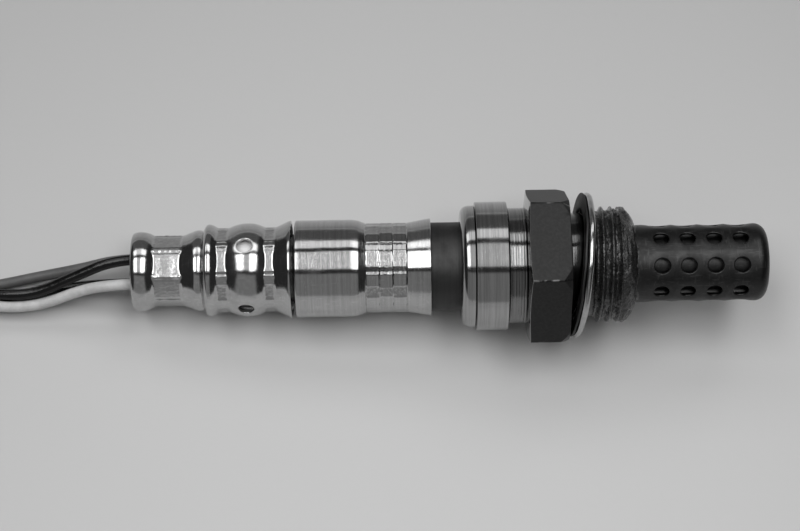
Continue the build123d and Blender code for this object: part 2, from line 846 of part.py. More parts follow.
def lead_outside(name, lay, shift):
    """One lead from the grommet's rear face to the boot of the harness sleeve."""
    on_axis = at_angle(lead_positions()[name], Pos(grommet_recess, 0, lead_circle_radius) * Sphere(lead_radius))
    leaving = lay * on_axis
    exit_point = leaving.center()
    away = (lay * Pos(-1, 0, 0)).position - lay.position
    side, height = bundle_places[name]
    end = (boot_rear_x, boot_y + side, boot_z + height)
    before_end = (boot_rear_x + lead_straight_in, *end[1:])
    ways = [tuple(Vector(*point) + shift) for point in [*lead_ways[name], before_end, end]]
    points = [tuple(exit_point), tuple(exit_point + away * lead_straight_out), *ways]
    return cord_tube(f"lead_{name}", points, lead_radius)


def sleeve_band_front():
    """Shrunk rubber boot where the four leads enter the harness sleeve."""
    boot = extrude(Plane.YZ.offset(boot_front_x) * Circle(boot_radius), amount=boot_length)
    boot = fillet(boot.edges().filter_by(GeomType.CIRCLE), boot_corner)
    return Pos(0, boot_y, boot_z) * boot


def hank_path():
    """Middle line of the hank: out, round, back, round again and out along itself."""
    start = Vector(hank_start_x, hank_start_y, hank_z)
    far_turn_radius = (hank_far_y - hank_start_y) / 2
    first = Line(start, (hank_left_x, hank_start_y, hank_z))
    turn = ThreePointArc(
        first @ 1,
        (hank_left_x - far_turn_radius, hank_start_y + far_turn_radius, hank_z),
        (hank_left_x, hank_far_y, hank_z),
    )
    back = Line(turn @ 1, (hank_turn_x, hank_far_y, hank_z))
    turn_again = ThreePointArc(
        back @ 1,
        (hank_turn_x + hank_turn_radius, hank_far_y - hank_turn_radius, hank_z),
        (hank_turn_x, hank_inner_y, hank_z),
    )
    last = Line(turn_again @ 1, (hank_end_x, hank_inner_y, hank_z))
    return Wire([first, turn, back, turn_again, last])


def harness_hank():
    """The part of the harness sleeve that is put away in one oval turn."""
    path = hank_path()
    tube = sweep(Plane(origin=path @ 0, z_dir=path % 0) * Circle(harness_radius), path=path)
    expected = math.pi * harness_radius**2 * path.length
    print(f"harness_hank: length {path.length:.1f}, volume {tube.volume / expected:.4f} of expected")
    return tube


def hank_tie():
    """Strap round the hank's first run and its tail, with a small buckle on top."""
    middle_y = (hank_start_y + hank_inner_y) / 2
    inner_height = 2 * (harness_radius + sliding_gap)
    inner_width = inner_height + hank_inner_y - hank_start_y
    slot = SlotOverall(inner_width + 2 * tie_wall, inner_height + 2 * tie_wall)
    strap = slot - SlotOverall(inner_width, inner_height)
    band = extrude(Plane.YZ.offset(tie_x) * strap, amount=-tie_length)
    top = inner_height / 2 + tie_wall / 2
    buckle_plane = Plane.XY.offset(top) * Pos(tie_x - tie_length / 2, 0, 0)
    buckle = extrude(
        buckle_plane * RectangleRounded(tie_buckle_length, tie_buckle_width, tie_wall),
        amount=tie_buckle_height,
    )
    return Pos(0, middle_y, hank_z) * (band + buckle)


def on_connector(shape):
    """A shape of the connector's own frame, set at the end of the harness tail."""
    last_x, last_y, _ = tail_way[-1]
    end_x, end_y, end_z = tail_end
    turn = math.degrees(math.atan2(end_y - last_y, end_x - last_x))
    return Pos(end_x, end_y, end_z) * Rot(0, 0, turn) * shape


def connector_housing():
    """Moulded four-way housing: collar, body, mouth with its core, and latch lever."""
    s_body = connector_collar_length
    s_face = s_body + connector_length
    body = prism(RectangleRounded(connector_width, connector_height, connector_corner), s_body, s_face)
    body += rod(connector_collar_radius, 0, s_body)
    mouth = RectangleRounded(
        connector_width - 2 * connector_wall,
        connector_height - 2 * connector_wall,
        connector_corner - connector_wall,
    )
    core = RectangleRounded(connector_core_width, connector_core_height, connector_wall)
    body -= prism(mouth, s_face - connector_mouth_depth, s_face)
    body += prism(core, s_face - connector_mouth_depth, s_face - connector_core_recess)
    top = connector_height / 2 + connector_latch_gap
    lever = Pos(s_face - connector_latch_length / 2, 0, top + connector_latch_height / 2) * Box(
        connector_latch_length, connector_latch_width, connector_latch_height
    )
    root_height = connector_latch_gap + connector_latch_height / 2
    root = Pos(
        s_face - connector_latch_length / 2, 0, connector_height / 2 + root_height / 2
    ) * Box(connector_latch_root, connector_latch_width, root_height)
    body += lever + root
    return on_connector(body - terminal_slots())


def slot_places():
    """The four terminal places on the connector's face, as (y, z)."""
    half_y = terminal_pitch_y / 2
    half_z = terminal_pitch_z / 2
    return [(-half_y, -half_z), (half_y, -half_z), (-half_y, half_z), (half_y, half_z)]


def terminal_slots():
    """Square holes in the connector's core for its terminals."""
    s_front = connector_collar_length + connector_length - connector_core_recess
    slots = []
    for y, z in slot_places():
        slot = prism(Rectangle(terminal_slot, terminal_slot), s_front - terminal_slot_depth, s_front)
        slots.append(Pos(0, y, z) * slot)
    return slots


def connector_terminals():
    """Four box terminals in their slots, open to the front."""
    s_rear = connector_collar_length + connector_length - connector_core_recess - terminal_slot_depth
    blade_gap = terminal_size - 2 * terminal_wall
    box = prism(Rectangle(terminal_size, terminal_size), s_rear, s_rear + terminal_length)
    box -= prism(Rectangle(blade_gap, blade_gap), s_rear + terminal_wall, s_rear + terminal_length)
    return Compound(children=[on_connector(Pos(0, y, z) * box).solid() for y, z in slot_places()])


def connector_seal():
    """Silicone ring round the foot of the connector's core."""
    start = connector_collar_length + connector_length - connector_mouth_depth
    outer = RectangleRounded(
        connector_width - 2 * connector_wall - 2 * sliding_gap,
        connector_height - 2 * connector_wall - 2 * sliding_gap,
        connector_corner - connector_wall,
    )
    hole = RectangleRounded(
        connector_core_width + 2 * sliding_gap, connector_core_height + 2 * sliding_gap, connector_wall
    )
    return on_connector(prism(outer - hole, start, start + connector_seal_length))


def connector_lock():
    """Flat locking slide on one flank of the housing's body."""
    start = connector_collar_length + connector_lock_length
    plate = Box(connector_lock_length, connector_lock_height, connector_lock_width)
    side = connector_width / 2 + connector_lock_height / 2
    return on_connector(Pos(start, side, 0) * plate)


def sensor_nodes():
    """The sensor's own pieces in the local frame, by node name."""
    angles = lead_positions()
    return {
        "filter_cover": filter_cover(),
        "filter_sleeve": filter_sleeve(),
        "rear_cover": rear_cover(),
        "front_cover": front_cover(),
        "sensor_shell": sensor_shell(),
        "gasket_ring": gasket_ring(),
        "thread_compound": thread_compound(),
        "outer_protection_tube": outer_protection_tube(),
        "inner_protection_tube": inner_protection_tube(),
        "sensing_element": sensing_element(),
        "heater_rod": heater_rod(),
        "packing_washer": packing_washer(),
        "talc_seal": talc_seal(),
        "insulator_ring": insulator_ring(),
        "caulking_ring": caulking_ring(),
        "grommet": grommet(),
        "lead_inner_ends": lead_inner_ends(),
        "terminal_insulator": terminal_insulator(),
        "insulator_spring": insulator_spring(),
        "heater_contact_a": heater_contact(angles["black_a"]),
        "heater_contact_b": heater_contact(angles["black_b"]),
        "signal_contact": signal_contact(),
        "ground_contact": ground_contact(),
    }


def harness_nodes(lay, shift):
    """The leads and all that lies on the harness, by node name."""
    at_rim = Pos(*shift)
    sleeve_points = [
        (boot_front_x, boot_y, boot_z),
        (boot_front_x - cord_straight, boot_y, boot_z),
        *sleeve_way,
        (hank_start_x + cord_straight, hank_start_y, hank_z),
        (hank_start_x, hank_start_y, hank_z),
    ]
    tail_points = [
        (hank_end_x, hank_inner_y, hank_z),
        (hank_end_x - cord_straight, hank_inner_y, hank_z),
        *tail_way,
        tail_end,
    ]
    nodes = {f"lead_{name}": lead_outside(name, lay, shift) for name in lead_positions()}
    for name, points in (("harness_sleeve", sleeve_points), ("harness_tail", tail_points)):
        moved = [tuple(Vector(*point) + shift) for point in points]
        nodes[name] = cord_tube(name, moved, harness_radius)
    nodes["sleeve_band_front"] = at_rim * sleeve_band_front()
    nodes["harness_hank"] = at_rim * harness_hank()
    nodes["hank_tie"] = at_rim * hank_tie()
    nodes["connector_housing"] = at_rim * connector_housing()
    nodes["connector_terminals"] = at_rim * connector_terminals()
    nodes["connector_seal"] = at_rim * connector_seal()
    nodes["connector_lock"] = at_rim * connector_lock()
    return nodes


def main():
    """Builds the sensor, lays it down, adds the harness and writes every node."""
    os.makedirs("parts", exist_ok=True)
    own = sensor_nodes()
    tilted = Compound(children=[Rot(0, -rest_tilt, 0) * shape for shape in own.values()])
    box = tilted.bounding_box()
    middle = (box.min + box.max) / 2
    lay = Pos(-middle.X, -middle.Y, -box.min.Z) * Rot(0, -rest_tilt, 0)
    shift = Vector(lay.position.X, 0, 0)
    nodes = {name: lay * shape for name, shape in own.items()}
    nodes.update(harness_nodes(lay, shift))
    for name, shape in nodes.items():
        export_step(shape, f"parts/{name}.step")
    print(f"rest tilt {rest_tilt:.3f} degrees, rear rim centre {tuple(lay.position)}")


main()
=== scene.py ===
"""Heated oxygen sensor: its finishes, detailed pieces, cords, floor, light and camera.

Sizes in the classes are in millimetres. Along the sensor they are stations on its axis: station 0
is the centre of the rear rim, and stations grow towards the tip. Angles round the axis are taken
from the top towards +Y. Everything handed to Blender is in metres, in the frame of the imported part.
"""
import json
import logging
import math
from collections.abc import Callable, Sequence
from dataclasses import dataclass
from enum import Enum
from typing import ClassVar

import bmesh
import bpy
from mathutils import Matrix, Vector, noise


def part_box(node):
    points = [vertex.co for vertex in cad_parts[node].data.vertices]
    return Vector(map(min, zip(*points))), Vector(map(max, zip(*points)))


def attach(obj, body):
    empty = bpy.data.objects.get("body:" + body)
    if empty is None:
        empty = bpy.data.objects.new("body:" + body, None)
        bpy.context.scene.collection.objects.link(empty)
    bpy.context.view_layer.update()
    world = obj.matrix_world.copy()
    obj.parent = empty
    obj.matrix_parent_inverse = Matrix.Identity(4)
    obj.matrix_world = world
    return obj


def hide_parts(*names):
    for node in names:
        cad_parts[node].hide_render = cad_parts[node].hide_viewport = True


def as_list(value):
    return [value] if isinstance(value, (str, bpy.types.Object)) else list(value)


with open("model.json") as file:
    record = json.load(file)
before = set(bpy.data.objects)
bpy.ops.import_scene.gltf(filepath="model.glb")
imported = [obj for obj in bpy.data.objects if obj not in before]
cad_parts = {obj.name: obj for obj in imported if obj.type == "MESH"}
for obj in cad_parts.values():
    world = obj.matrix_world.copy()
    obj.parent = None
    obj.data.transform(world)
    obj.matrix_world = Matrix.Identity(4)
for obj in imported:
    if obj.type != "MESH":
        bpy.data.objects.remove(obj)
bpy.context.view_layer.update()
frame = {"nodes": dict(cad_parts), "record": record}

MM = 0.001
BODY = "root"
FULL_TURN = 2 * math.pi
QUARTER_TURN = FULL_TURN / 4
HALF_SIXTH = FULL_TURN / 12
EDGE_SHARE = 0.3  # rounding of a sheet's cut edge, as a share of its wall
Socket = bpy.types.NodeSocket
Point = tuple[float, float, float]
Pair = tuple[float, float]
Place = Pair  # station and radius
Bands = tuple[tuple[float, float], ...]  # start and end stations
Surface = Callable[[float, float], float]  # outer radius at a station and an angle
log = logging.getLogger("oxygen_sensor")


def rise(value: float, low: float, high: float) -> float:
    """Smooth step from 0 at one value to 1 at another."""
    share = min(max((value - low) / (high - low), 0.0), 1.0)
    return share * share * (3 - 2 * share)


def band(value: float, start: float, end: float, soft: float) -> float:
    """1 between two values and 0 outside them, with soft ends."""
    return rise(value, start - soft, start + soft) * (1 - rise(value, end - soft, end + soft))


def bell(value: float, width: float) -> float:
    """Smooth bump that is 1 at value 0 and fades over a width."""
    return math.exp(-((value / width) ** 2))


def wall_noise(station: float, angle: float, along: float, across: float, shift: float = 0.0) -> float:
    """Noise on a round wall, from -1 to 1, with so many features along it and across it."""
    y, z = math.sin(angle) * across, math.cos(angle) * across
    return noise.noise(Vector((station * along, y, z + shift)))


def rim_noise(angle: float, across: float, layer: float) -> float:
    """Noise round a rim, from -1 to 1, in a layer of its own."""
    return noise.noise(Vector((math.sin(angle) * across, math.cos(angle) * across, layer)))


class Wire:
    """A number on a shader socket, on which Python's operators add Math nodes."""

    def __init__(self, graph: "Graph", socket: Socket) -> None:
        """Keeps the socket and the graph that takes the Math nodes."""
        self.graph = graph
        self.socket = socket

    def __add__(self, other: "Wire | float") -> "Wire":
        """This number plus another."""
        return self.graph.maths("ADD", self, other)

    def __radd__(self, other: "Wire | float") -> "Wire":
        """Another number plus this one."""
        return self.graph.maths("ADD", other, self)

    def __sub__(self, other: "Wire | float") -> "Wire":
        """This number minus another."""
        return self.graph.maths("SUBTRACT", self, other)

    def __rsub__(self, other: "Wire | float") -> "Wire":
        """Another number minus this one."""
        return self.graph.maths("SUBTRACT", other, self)

    def __mul__(self, other: "Wire | float") -> "Wire":
        """This number times another."""
        return self.graph.maths("MULTIPLY", self, other)

    def __rmul__(self, other: "Wire | float") -> "Wire":
        """Another number times this one."""
        return self.graph.maths("MULTIPLY", other, self)

    def rise(self, low: float, high: float) -> "Wire":
        """Smooth step from 0 at one value to 1 at another."""
        inputs = {0: self, 1: low, 2: high, 3: 0.0, 4: 1.0}
        step = self.graph.node("ShaderNodeMapRange", {"interpolation_type": "SMOOTHSTEP"}, inputs)
        return Wire(self.graph, step.outputs[0])

    def band(self, start: float, end: float, soft: float) -> "Wire":
        """1 between two values and 0 outside them, with soft ends."""
        return self.rise(start - soft, start + soft) * (1 - self.rise(end - soft, end + soft))


class Graph:
    """The shader nodes of one material or of the world."""

    def __init__(self, owner: bpy.types.Material | bpy.types.World) -> None:
        """Empties the owner's node tree, to be filled again."""
        owner.use_nodes = True
        self.owner = owner
        self.tree = owner.node_tree
        self.tree.nodes.clear()

    def plug(self, socket: Socket, value: object) -> None:
        """Links an input socket to a wire or a socket, or sets its number or colour.

        Args:
            socket: The input socket.
            value: A wire, an output socket, a number, or a tuple. A number on a colour is a grey.
        """
        if isinstance(value, Wire):
            self.tree.links.new(value.socket, socket)
        elif isinstance(value, Socket):
            self.tree.links.new(value, socket)
        elif socket.type == "RGBA":
            colour = (value, value, value) if isinstance(value, (int, float)) else tuple(value)[:3]
            socket.default_value = (*colour, 1.0)
        else:
            socket.default_value = value

    def node(
        self, kind: str, settings: dict[str, object], inputs: dict[str | int, object]
    ) -> bpy.types.Node:
        """Adds one node of any kind.

        Args:
            kind: The node's type.
            settings: Its properties, set before its sockets.
            inputs: Values or links, by the socket's name or number.

        Returns:
            The new node.
        """
        made = self.tree.nodes.new(kind)
        for name, value in settings.items():
            setattr(made, name, value)
        for key, value in inputs.items():
            self.plug(made.inputs[key], value)
        return made

    def maths(self, operation: str, *values: "Wire | float") -> Wire:
        """Adds a Math node on up to three values and gives its result."""
        made = self.node("ShaderNodeMath", {"operation": operation}, dict(enumerate(values)))
        return Wire(self, made.outputs[0])

    def vector(self, operation: str, *values: object) -> Socket:
        """Adds a Vector Math node and gives its vector."""
        made = self.node("ShaderNodeVectorMath", {"operation": operation}, dict(enumerate(values)))
        return made.outputs[0]

    def split(self, vector: Socket) -> tuple[Wire, Wire, Wire]:
        """The three numbers of a vector."""
        parts = self.node("ShaderNodeSeparateXYZ", {}, {0: vector}).outputs
        return Wire(self, parts[0]), Wire(self, parts[1]), Wire(self, parts[2])

    def noise(self, place: Socket, scale: float, detail: float = 3.0, rough: float = 0.55) -> Wire:
        """Cloudy noise from 0 to 1, with so many features for each unit of its place."""
        inputs = {"Vector": place, "Scale": scale, "Detail": detail, "Roughness": rough}
        return Wire(self, self.node("ShaderNodeTexNoise", {}, inputs).outputs[0])

    def cells(self, place: Socket, scale: float) -> Wire:
        """Distance to the nearest of scattered points, in cell widths."""
        inputs = {"Vector": place, "Scale": scale}
        return Wire(self, self.node("ShaderNodeTexVoronoi", {}, inputs).outputs["Distance"])

    def mix(self, share: Wire | float, first: object, second: object) -> Socket:
        """Mix of two colours or greys."""
        made = self.node("ShaderNodeMix", {"data_type": "RGBA"}, {0: share, 6: first, 7: second})
        return made.outputs[2]

    def blend(self, share: Wire | float, first: Wire | float, second: Wire | float) -> Wire:
        """Mix of two numbers."""
        made = self.node("ShaderNodeMix", {"data_type": "FLOAT"}, {0: share, 2: first, 3: second})
        return Wire(self, made.outputs[0])

    def bump(self, height: Wire, depth: float, below: Socket | None = None) -> Socket:
        """Normal of a surface with fine relief.

        Args:
            height: The relief, from 0 to 1.
            depth: Its depth in millimetres.
            below: Normal of a coarser relief under it.

        Returns:
            The normal.
        """
        inputs = {"Height": height, "Distance": depth * MM, "Strength": 1.0}
        if below is not None:
            inputs["Normal"] = below
        return self.node("ShaderNodeBump", {}, inputs).outputs[0]

    def surface(self, inputs: dict[str | int, object]) -> None:
        """Ends a material in one Principled shader with these sockets."""
        shader = self.node("ShaderNodeBsdfPrincipled", {}, inputs)
        self.node("ShaderNodeOutputMaterial", {}, {"Surface": shader.outputs[0]})


@dataclass(frozen=True)
class SensorAxis:
    """Where the sensor lies: the centre of its rear rim, and how far its tip is raised."""

    origin: Vector
    tilt: float

    @classmethod
    def from_frame(cls, rim_radius: float) -> "SensorAxis":
        """Reads the axis from the thread's mount and the end of the filter cover.

        Args:
            rim_radius: Radius of the rear rim.

        Returns:
            The axis.
        """
        mounts = {mount["name"]: mount for mount in frame["record"]["mounts"]}
        thread_x, _, thread_z = mounts["exhaust_thread"]["pos_m"]
        along_x, _, along_z = mounts["exhaust_thread"]["axis"]
        tilt = math.atan2(along_z, along_x)
        rim_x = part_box("filter_cover")[0].x + rim_radius * MM * math.sin(tilt)
        rim_z = thread_z + (rim_x - thread_x) * math.tan(tilt)
        return cls(Vector((rim_x, 0.0, rim_z)), tilt)

    def point(self, station: float, radius: float, angle: float) -> Point:
        """Place, in metres, of a point given by its station, radius and angle."""
        return self.place(station, radius * math.sin(angle), radius * math.cos(angle))

    def place(self, station: float, across: float, up: float) -> Point:
        """Place of a point off the axis.

        Args:
            station: Its station.
            across: Its distance across the axis.
            up: Its distance above the axis.

        Returns:
            The point in metres.
        """
        sine, cosine = math.sin(self.tilt), math.cos(self.tilt)
        return (
            self.origin.x + (station * cosine - up * sine) * MM,
            self.origin.y + across * MM,
            self.origin.z + (station * sine + up * cosine) * MM,
        )

    def place_in(self, graph: Graph) -> Socket:
        """Reads a surface's place on the sensor.

        Args:
            graph: A material's graph.

        Returns:
            Vector of station, distance across and distance above the axis, in millimetres.
        """
        where = graph.node("ShaderNodeTexCoord", {}, {}).outputs["Object"]
        moved = graph.vector("SUBTRACT", where, tuple(self.origin))
        inputs = {"Vector": moved, "Angle": self.tilt}
        turned = graph.node("ShaderNodeVectorRotate", {"rotation_type": "Y_AXIS"}, inputs)
        return graph.vector("MULTIPLY", turned.outputs[0], (1 / MM, 1 / MM, 1 / MM))


class RoundMesh:
    """A closed mesh made of loops of points round the sensor's axis."""

    def __init__(self, name: str, axis: SensorAxis, angles: Sequence[float]) -> None:
        """Starts an empty mesh.

        Args:
            name: Name of the piece.
            axis: The sensor's axis.
            angles: Angles of the columns round the axis, in radians, growing through one turn.
        """
        self.name = name
        self.axis = axis
        self.angles = list(angles)
        self.points: list[Point] = []
        self.faces: list[tuple[int, ...]] = []

    def angle(self, column: int) -> float:
        """Angle of a column, whose number may run on past one turn."""
        turns, place = divmod(column, len(self.angles))
        return self.angles[place] + turns * FULL_TURN

    def loop(self, place: Callable[[float], Place]) -> list[int]:
        """Adds one loop of points.

        Args:
            place: Gives the station and the radius at an angle.

        Returns:
            The numbers of its points.
        """
        first = len(self.points)
        self.points += [self.axis.point(*place(angle), angle) for angle in self.angles]
        return list(range(first, len(self.points)))

    def ring(self, station: float, radius: float) -> list[int]:
        """Adds one plain round loop."""
        return self.loop(lambda _: (station, radius))

    def bridge(self, rear: list[int], front: list[int], gaps: Sequence[range] = ()) -> None:
        """Joins two closed loops with faces.

        Args:
            rear: One loop.
            front: The other, with as many points.
            gaps: Columns that get no face.
        """
        count = len(rear)
        left_out = {column % count for gap in gaps for column in gap}
        for column in range(count):
            after = (column + 1) % count
            if column not in left_out:
                self.faces.append((rear[column], rear[after], front[after], front[column]))

    def skin(self, loops: Sequence[list[int]]) -> None:
        """Joins each loop to the next."""
        for rear, front in zip(loops, loops[1:]):
            self.bridge(rear, front)

    def sheet(
        self, stations: Sequence[float], surface: Surface, wall: float
    ) -> tuple[list[list[int]], list[list[int]]]:
        """Adds the loops of both sides of a sheet, not yet joined.

        Args:
            stations: Stations of the loops.
            surface: Outer radius at a station and an angle.
            wall: Thickness of the sheet.

        Returns:
            The outer loops and the inner loops.
        """
        outer = [self.loop(lambda a, s=s: (s, surface(s, a))) for s in stations]
        inner = [self.loop(lambda a, s=s: (s, surface(s, a) - wall)) for s in stations]
        return outer, inner

    def outline(self, points: Sequence[Place]) -> list[list[int]]:
        """Adds plain loops through (station, radius) points, joined in order."""
        loops = [self.ring(station, radius) for station, radius in points]
        self.skin(loops)
        return loops

    def pole(self, loop: list[int], station: float) -> None:
        """Closes a loop with a fan to a point on the axis.

        Args:
            loop: The loop.
            station: Station of the point.
        """
        centre = len(self.points)
        self.points.append(self.axis.place(station, 0.0, 0.0))
        count = len(loop)
        self.faces += [(loop[c], loop[(c + 1) % count], centre) for c in range(count)]

    def object(self, material: bpy.types.Material, sharp: float) -> bpy.types.Object:
        """Makes the Blender object, with edges shown sharp from an angle in degrees."""
        return mesh_object(self.name, self.points, self.faces, material, sharp)


def mesh_object(
    name: str,
    points: Sequence[Point],
    faces: Sequence[tuple[int, ...]],
    material: bpy.types.Material,
    sharp: float,
) -> bpy.types.Object:
    """Makes an object from points and faces, with its faces turned outwards.

    Args:
        name: Name of the piece.
        points: Its points in metres.
        faces: Its faces, by the points' numbers.
        material: Its finish.
        sharp: Angle in degrees from which an edge is shown sharp.

    Returns:
        The object, linked into the scene.
    """
    mesh = bpy.data.meshes.new(name)
    mesh.from_pydata(points, [], faces)
    form = bmesh.new()
    form.from_mesh(mesh)
    bmesh.ops.recalc_face_normals(form, faces=form.faces)
    form.to_mesh(mesh)
    form.free()
    mesh.shade_smooth()
    mesh.set_sharp_from_angle(angle=math.radians(sharp))
    mesh.materials.append(material)
    made = bpy.data.objects.new(name, mesh)
    bpy.context.scene.collection.objects.link(made)
    return made


def even_angles(count: int, start: float = 0.0) -> list[float]:
    """Evenly spaced angles of one turn, in radians."""
    return [start + FULL_TURN * number / count for number in range(count)]


def even_steps(start: float, end: float, step: float) -> list[float]:
    """Evenly spaced numbers from start to end, no more than a step apart."""
    count = max(1, math.ceil((end - start) / step))
    return [start + (end - start) * number / count for number in range(count + 1)]


@dataclass(frozen=True)
class Punch:
    """A round hole punched through a sheet wall, with its edge drawn in a little."""

    station: float
    radius: float
    edge: float
    outer_spreads: tuple[float, ...] = (0.78, 0.56, 0.37, 0.21, 0.09, 0.0)
    inner_spreads: tuple[float, ...] = (0.0, 0.3, 0.65)
    edge_turns: tuple[float, ...] = (0.35, 0.8, 1.2, QUARTER_TURN)

    @property
    def burr(self) -> float:
        """Width of the narrow chamfer on the inner side."""
        return self.edge / 3

    def cut(
        self,
        mesh: RoundMesh,
        stations: Sequence[float],
        columns: range,
        outer: Sequence[list[int]],
        inner: Sequence[list[int]],
        surface: Surface,
        wall: float,
    ) -> None:
        """Fills the field round the hole, which the skins leave out, on both sides of the wall.

        Args:
            mesh: The mesh that holds the skins.
            stations: Stations of the loops across the field.
            columns: Columns of the field, with its last column's number as the range's end.
            outer: The outer skin's loops at those stations.
            inner: The inner skin's loops at those stations.
            surface: Outer radius at a station and an angle.
            wall: Thickness of the wall.
        """
        rows = range(len(stations) - 1)
        border = [(0, column) for column in columns]
        border += [(row, columns.stop) for row in rows]
        back = reversed(range(columns.start + 1, columns.stop + 1))
        border += [(rows.stop, column) for column in back]
        border += [(row, columns.start) for row in reversed(range(1, rows.stop + 1))]
        reach_s = (stations[-1] - stations[0]) / 2
        reach_a = (mesh.angle(columns.stop) - mesh.angle(columns.start)) / 2
        middle_a = (mesh.angle(columns.stop) + mesh.angle(columns.start)) / 2
        round_radius = surface(self.station, middle_a)
        count = len(mesh.angles)

        def ring(spread: float, reach: float, depth: float) -> list[int]:
            """Adds one ring round the hole.

            Args:
                spread: 0 at the hole's edge and 1 at the field's border.
                reach: Radius of the hole at its edge.
                depth: Depth under the outer surface.

            Returns:
                The numbers of its points.
            """
            first = len(mesh.points)
            for row, column in border:
                along = stations[row] - self.station
                turn = mesh.angle(column) - middle_a
                heading = math.atan2(turn / reach_a, along / reach_s)
                hole_s = reach * math.cos(heading)
                hole_a = reach * math.sin(heading) / round_radius
                station = self.station + hole_s + spread * (along - hole_s)
                angle = middle_a + hole_a + spread * (turn - hole_a)
                radius = surface(station, angle) - depth
                mesh.points.append(mesh.axis.point(station, radius, angle))
            return list(range(first, len(mesh.points)))

        edge_reach = self.radius + self.edge
        rings = [[outer[row][column % count] for row, column in border]]
        rings += [ring(spread, edge_reach, 0.0) for spread in self.outer_spreads]
        for turn in self.edge_turns:
            reach = self.radius + self.edge * (1 - math.sin(turn))
            rings.append(ring(0.0, reach, self.edge * (1 - math.cos(turn))))
        rings.append(ring(0.0, self.radius, wall - self.burr))
        rings += [ring(spread, self.radius + self.burr, wall) for spread in self.inner_spreads]
        rings.append([inner[row][column % count] for row, column in border])
        mesh.skin(rings)


@dataclass(frozen=True)
class Vents:
    """Ring of vent holes, in line through the filter cover and the narrow tube inside it."""

    station: float = 17.7
    radius: float = 1.22
    angle: float = math.radians(13.0)
    count: int = 4
    reach: float = 1.9

    @property
    def field(self) -> tuple[float, float]:
        """Stations between which the wall is laid out round the holes."""
        return self.station - self.reach, self.station + self.reach

    def angles(self, columns: int, field_columns: int) -> list[float]:
        """Angles of a wall's columns, of which each hole's field takes the first of its share."""
        return even_angles(columns, self.angle - FULL_TURN * (field_columns / 2) / columns)

    def open(
        self,
        mesh: RoundMesh,
        stations: Sequence[float],
        rows: range,
        field_columns: int,
        edge: float,
        surface: Surface,
        wall: float,
    ) -> tuple[list[list[int]], list[list[int]]]:
        """Adds both sides of a sheet with the holes punched through it.

        Args:
            mesh: The mesh, whose columns start at the first field.
            stations: Stations of the loops.
            rows: Rows of faces that the fields take.
            field_columns: Columns of each field.
            edge: How far a hole's edge is drawn in.
            surface: Outer radius at a station and an angle.
            wall: Thickness of the sheet.

        Returns:
            The outer loops and the inner loops.
        """
        outer, inner = mesh.sheet(stations, surface, wall)
        share = len(mesh.angles) // self.count
        fields = [range(vent * share, vent * share + field_columns) for vent in range(self.count)]
        for skin in (outer, inner):
            for row, (rear, front) in enumerate(zip(skin, skin[1:])):
                mesh.bridge(rear, front, fields if row in rows else ())
        open_rows = slice(rows.start, rows.stop + 1)
        outside, inside = outer[open_rows], inner[open_rows]
        punch = Punch(self.station, self.radius, edge)
        for field in fields:
            punch.cut(mesh, stations[open_rows], field, outside, inside, surface, wall)
        return outer, inner


@dataclass(frozen=True)
class JawCrimp:
    """A band pressed in by a ring of jaws: flats, with a pinched ridge between each two."""

    start: float
    end: float
    depth: float
    soft: float = 0.28
    jaws: int = 8
    ridge_angle: float = math.radians(16.0)
    ridge_height: float = 0.16
    ridge_width: float = 0.3
    ridge_wave: float = 0.35
    ridge_wave_scale: Pair = (2.1, 9.0)
    groove_share: float = 0.35
    groove_widths: float = 2.2
    brim_share: float = 0.25
    dent_depth: float = 0.03
    dent_scale: float = 4.5
    lip_height: float = 0.02

    def press(self, station: float, angle: float, radius: float, round_radius: float) -> float:
        """Outer radius after the jaws have closed.

        Args:
            station: Station of the point.
            angle: Its angle.
            radius: Its radius before.
            round_radius: Radius of the band before.

        Returns:
            Its radius after.
        """
        pitch = FULL_TURN / self.jaws
        turn = (angle - self.ridge_angle) % pitch - pitch / 2
        from_ridge = (pitch / 2 - abs(turn)) * round_radius
        rear_lip = bell(station - self.start + self.soft, self.soft)
        front_lip = bell(station - self.end - self.soft, self.soft)
        lip = rear_lip + front_lip
        radius += self.lip_height * lip * rise(from_ridge, 0.0, round_radius * pitch / 4)
        reach = band(station, self.start, self.end, self.soft)
        if reach == 0.0:
            return radius
        flat = (round_radius - self.depth) / math.cos(turn)
        brim = self.brim_share * self.depth * bell(flat - round_radius, self.depth / 3)
        pressed = min(round_radius, flat) + brim
        along, across = self.ridge_wave_scale
        wave = noise.noise(Vector((station * along, angle * across, self.start)))
        ridge = self.ridge_height * (1 + self.ridge_wave * wave) * bell(from_ridge, self.ridge_width)
        beside = from_ridge - self.groove_widths * self.ridge_width
        groove = self.ridge_height * self.groove_share * bell(beside, self.ridge_width)
        scale = self.dent_scale
        spot = Vector((station * scale, angle * round_radius * scale, self.end))
        dents = self.dent_depth * noise.noise(spot)
        return radius + (pressed + ridge - groove + dents - radius) * reach


class Bend(Enum):
    """How a drawn sheet passes one point of its outline."""

    CREST = "along the axis"
    CORNER = "with a corner"


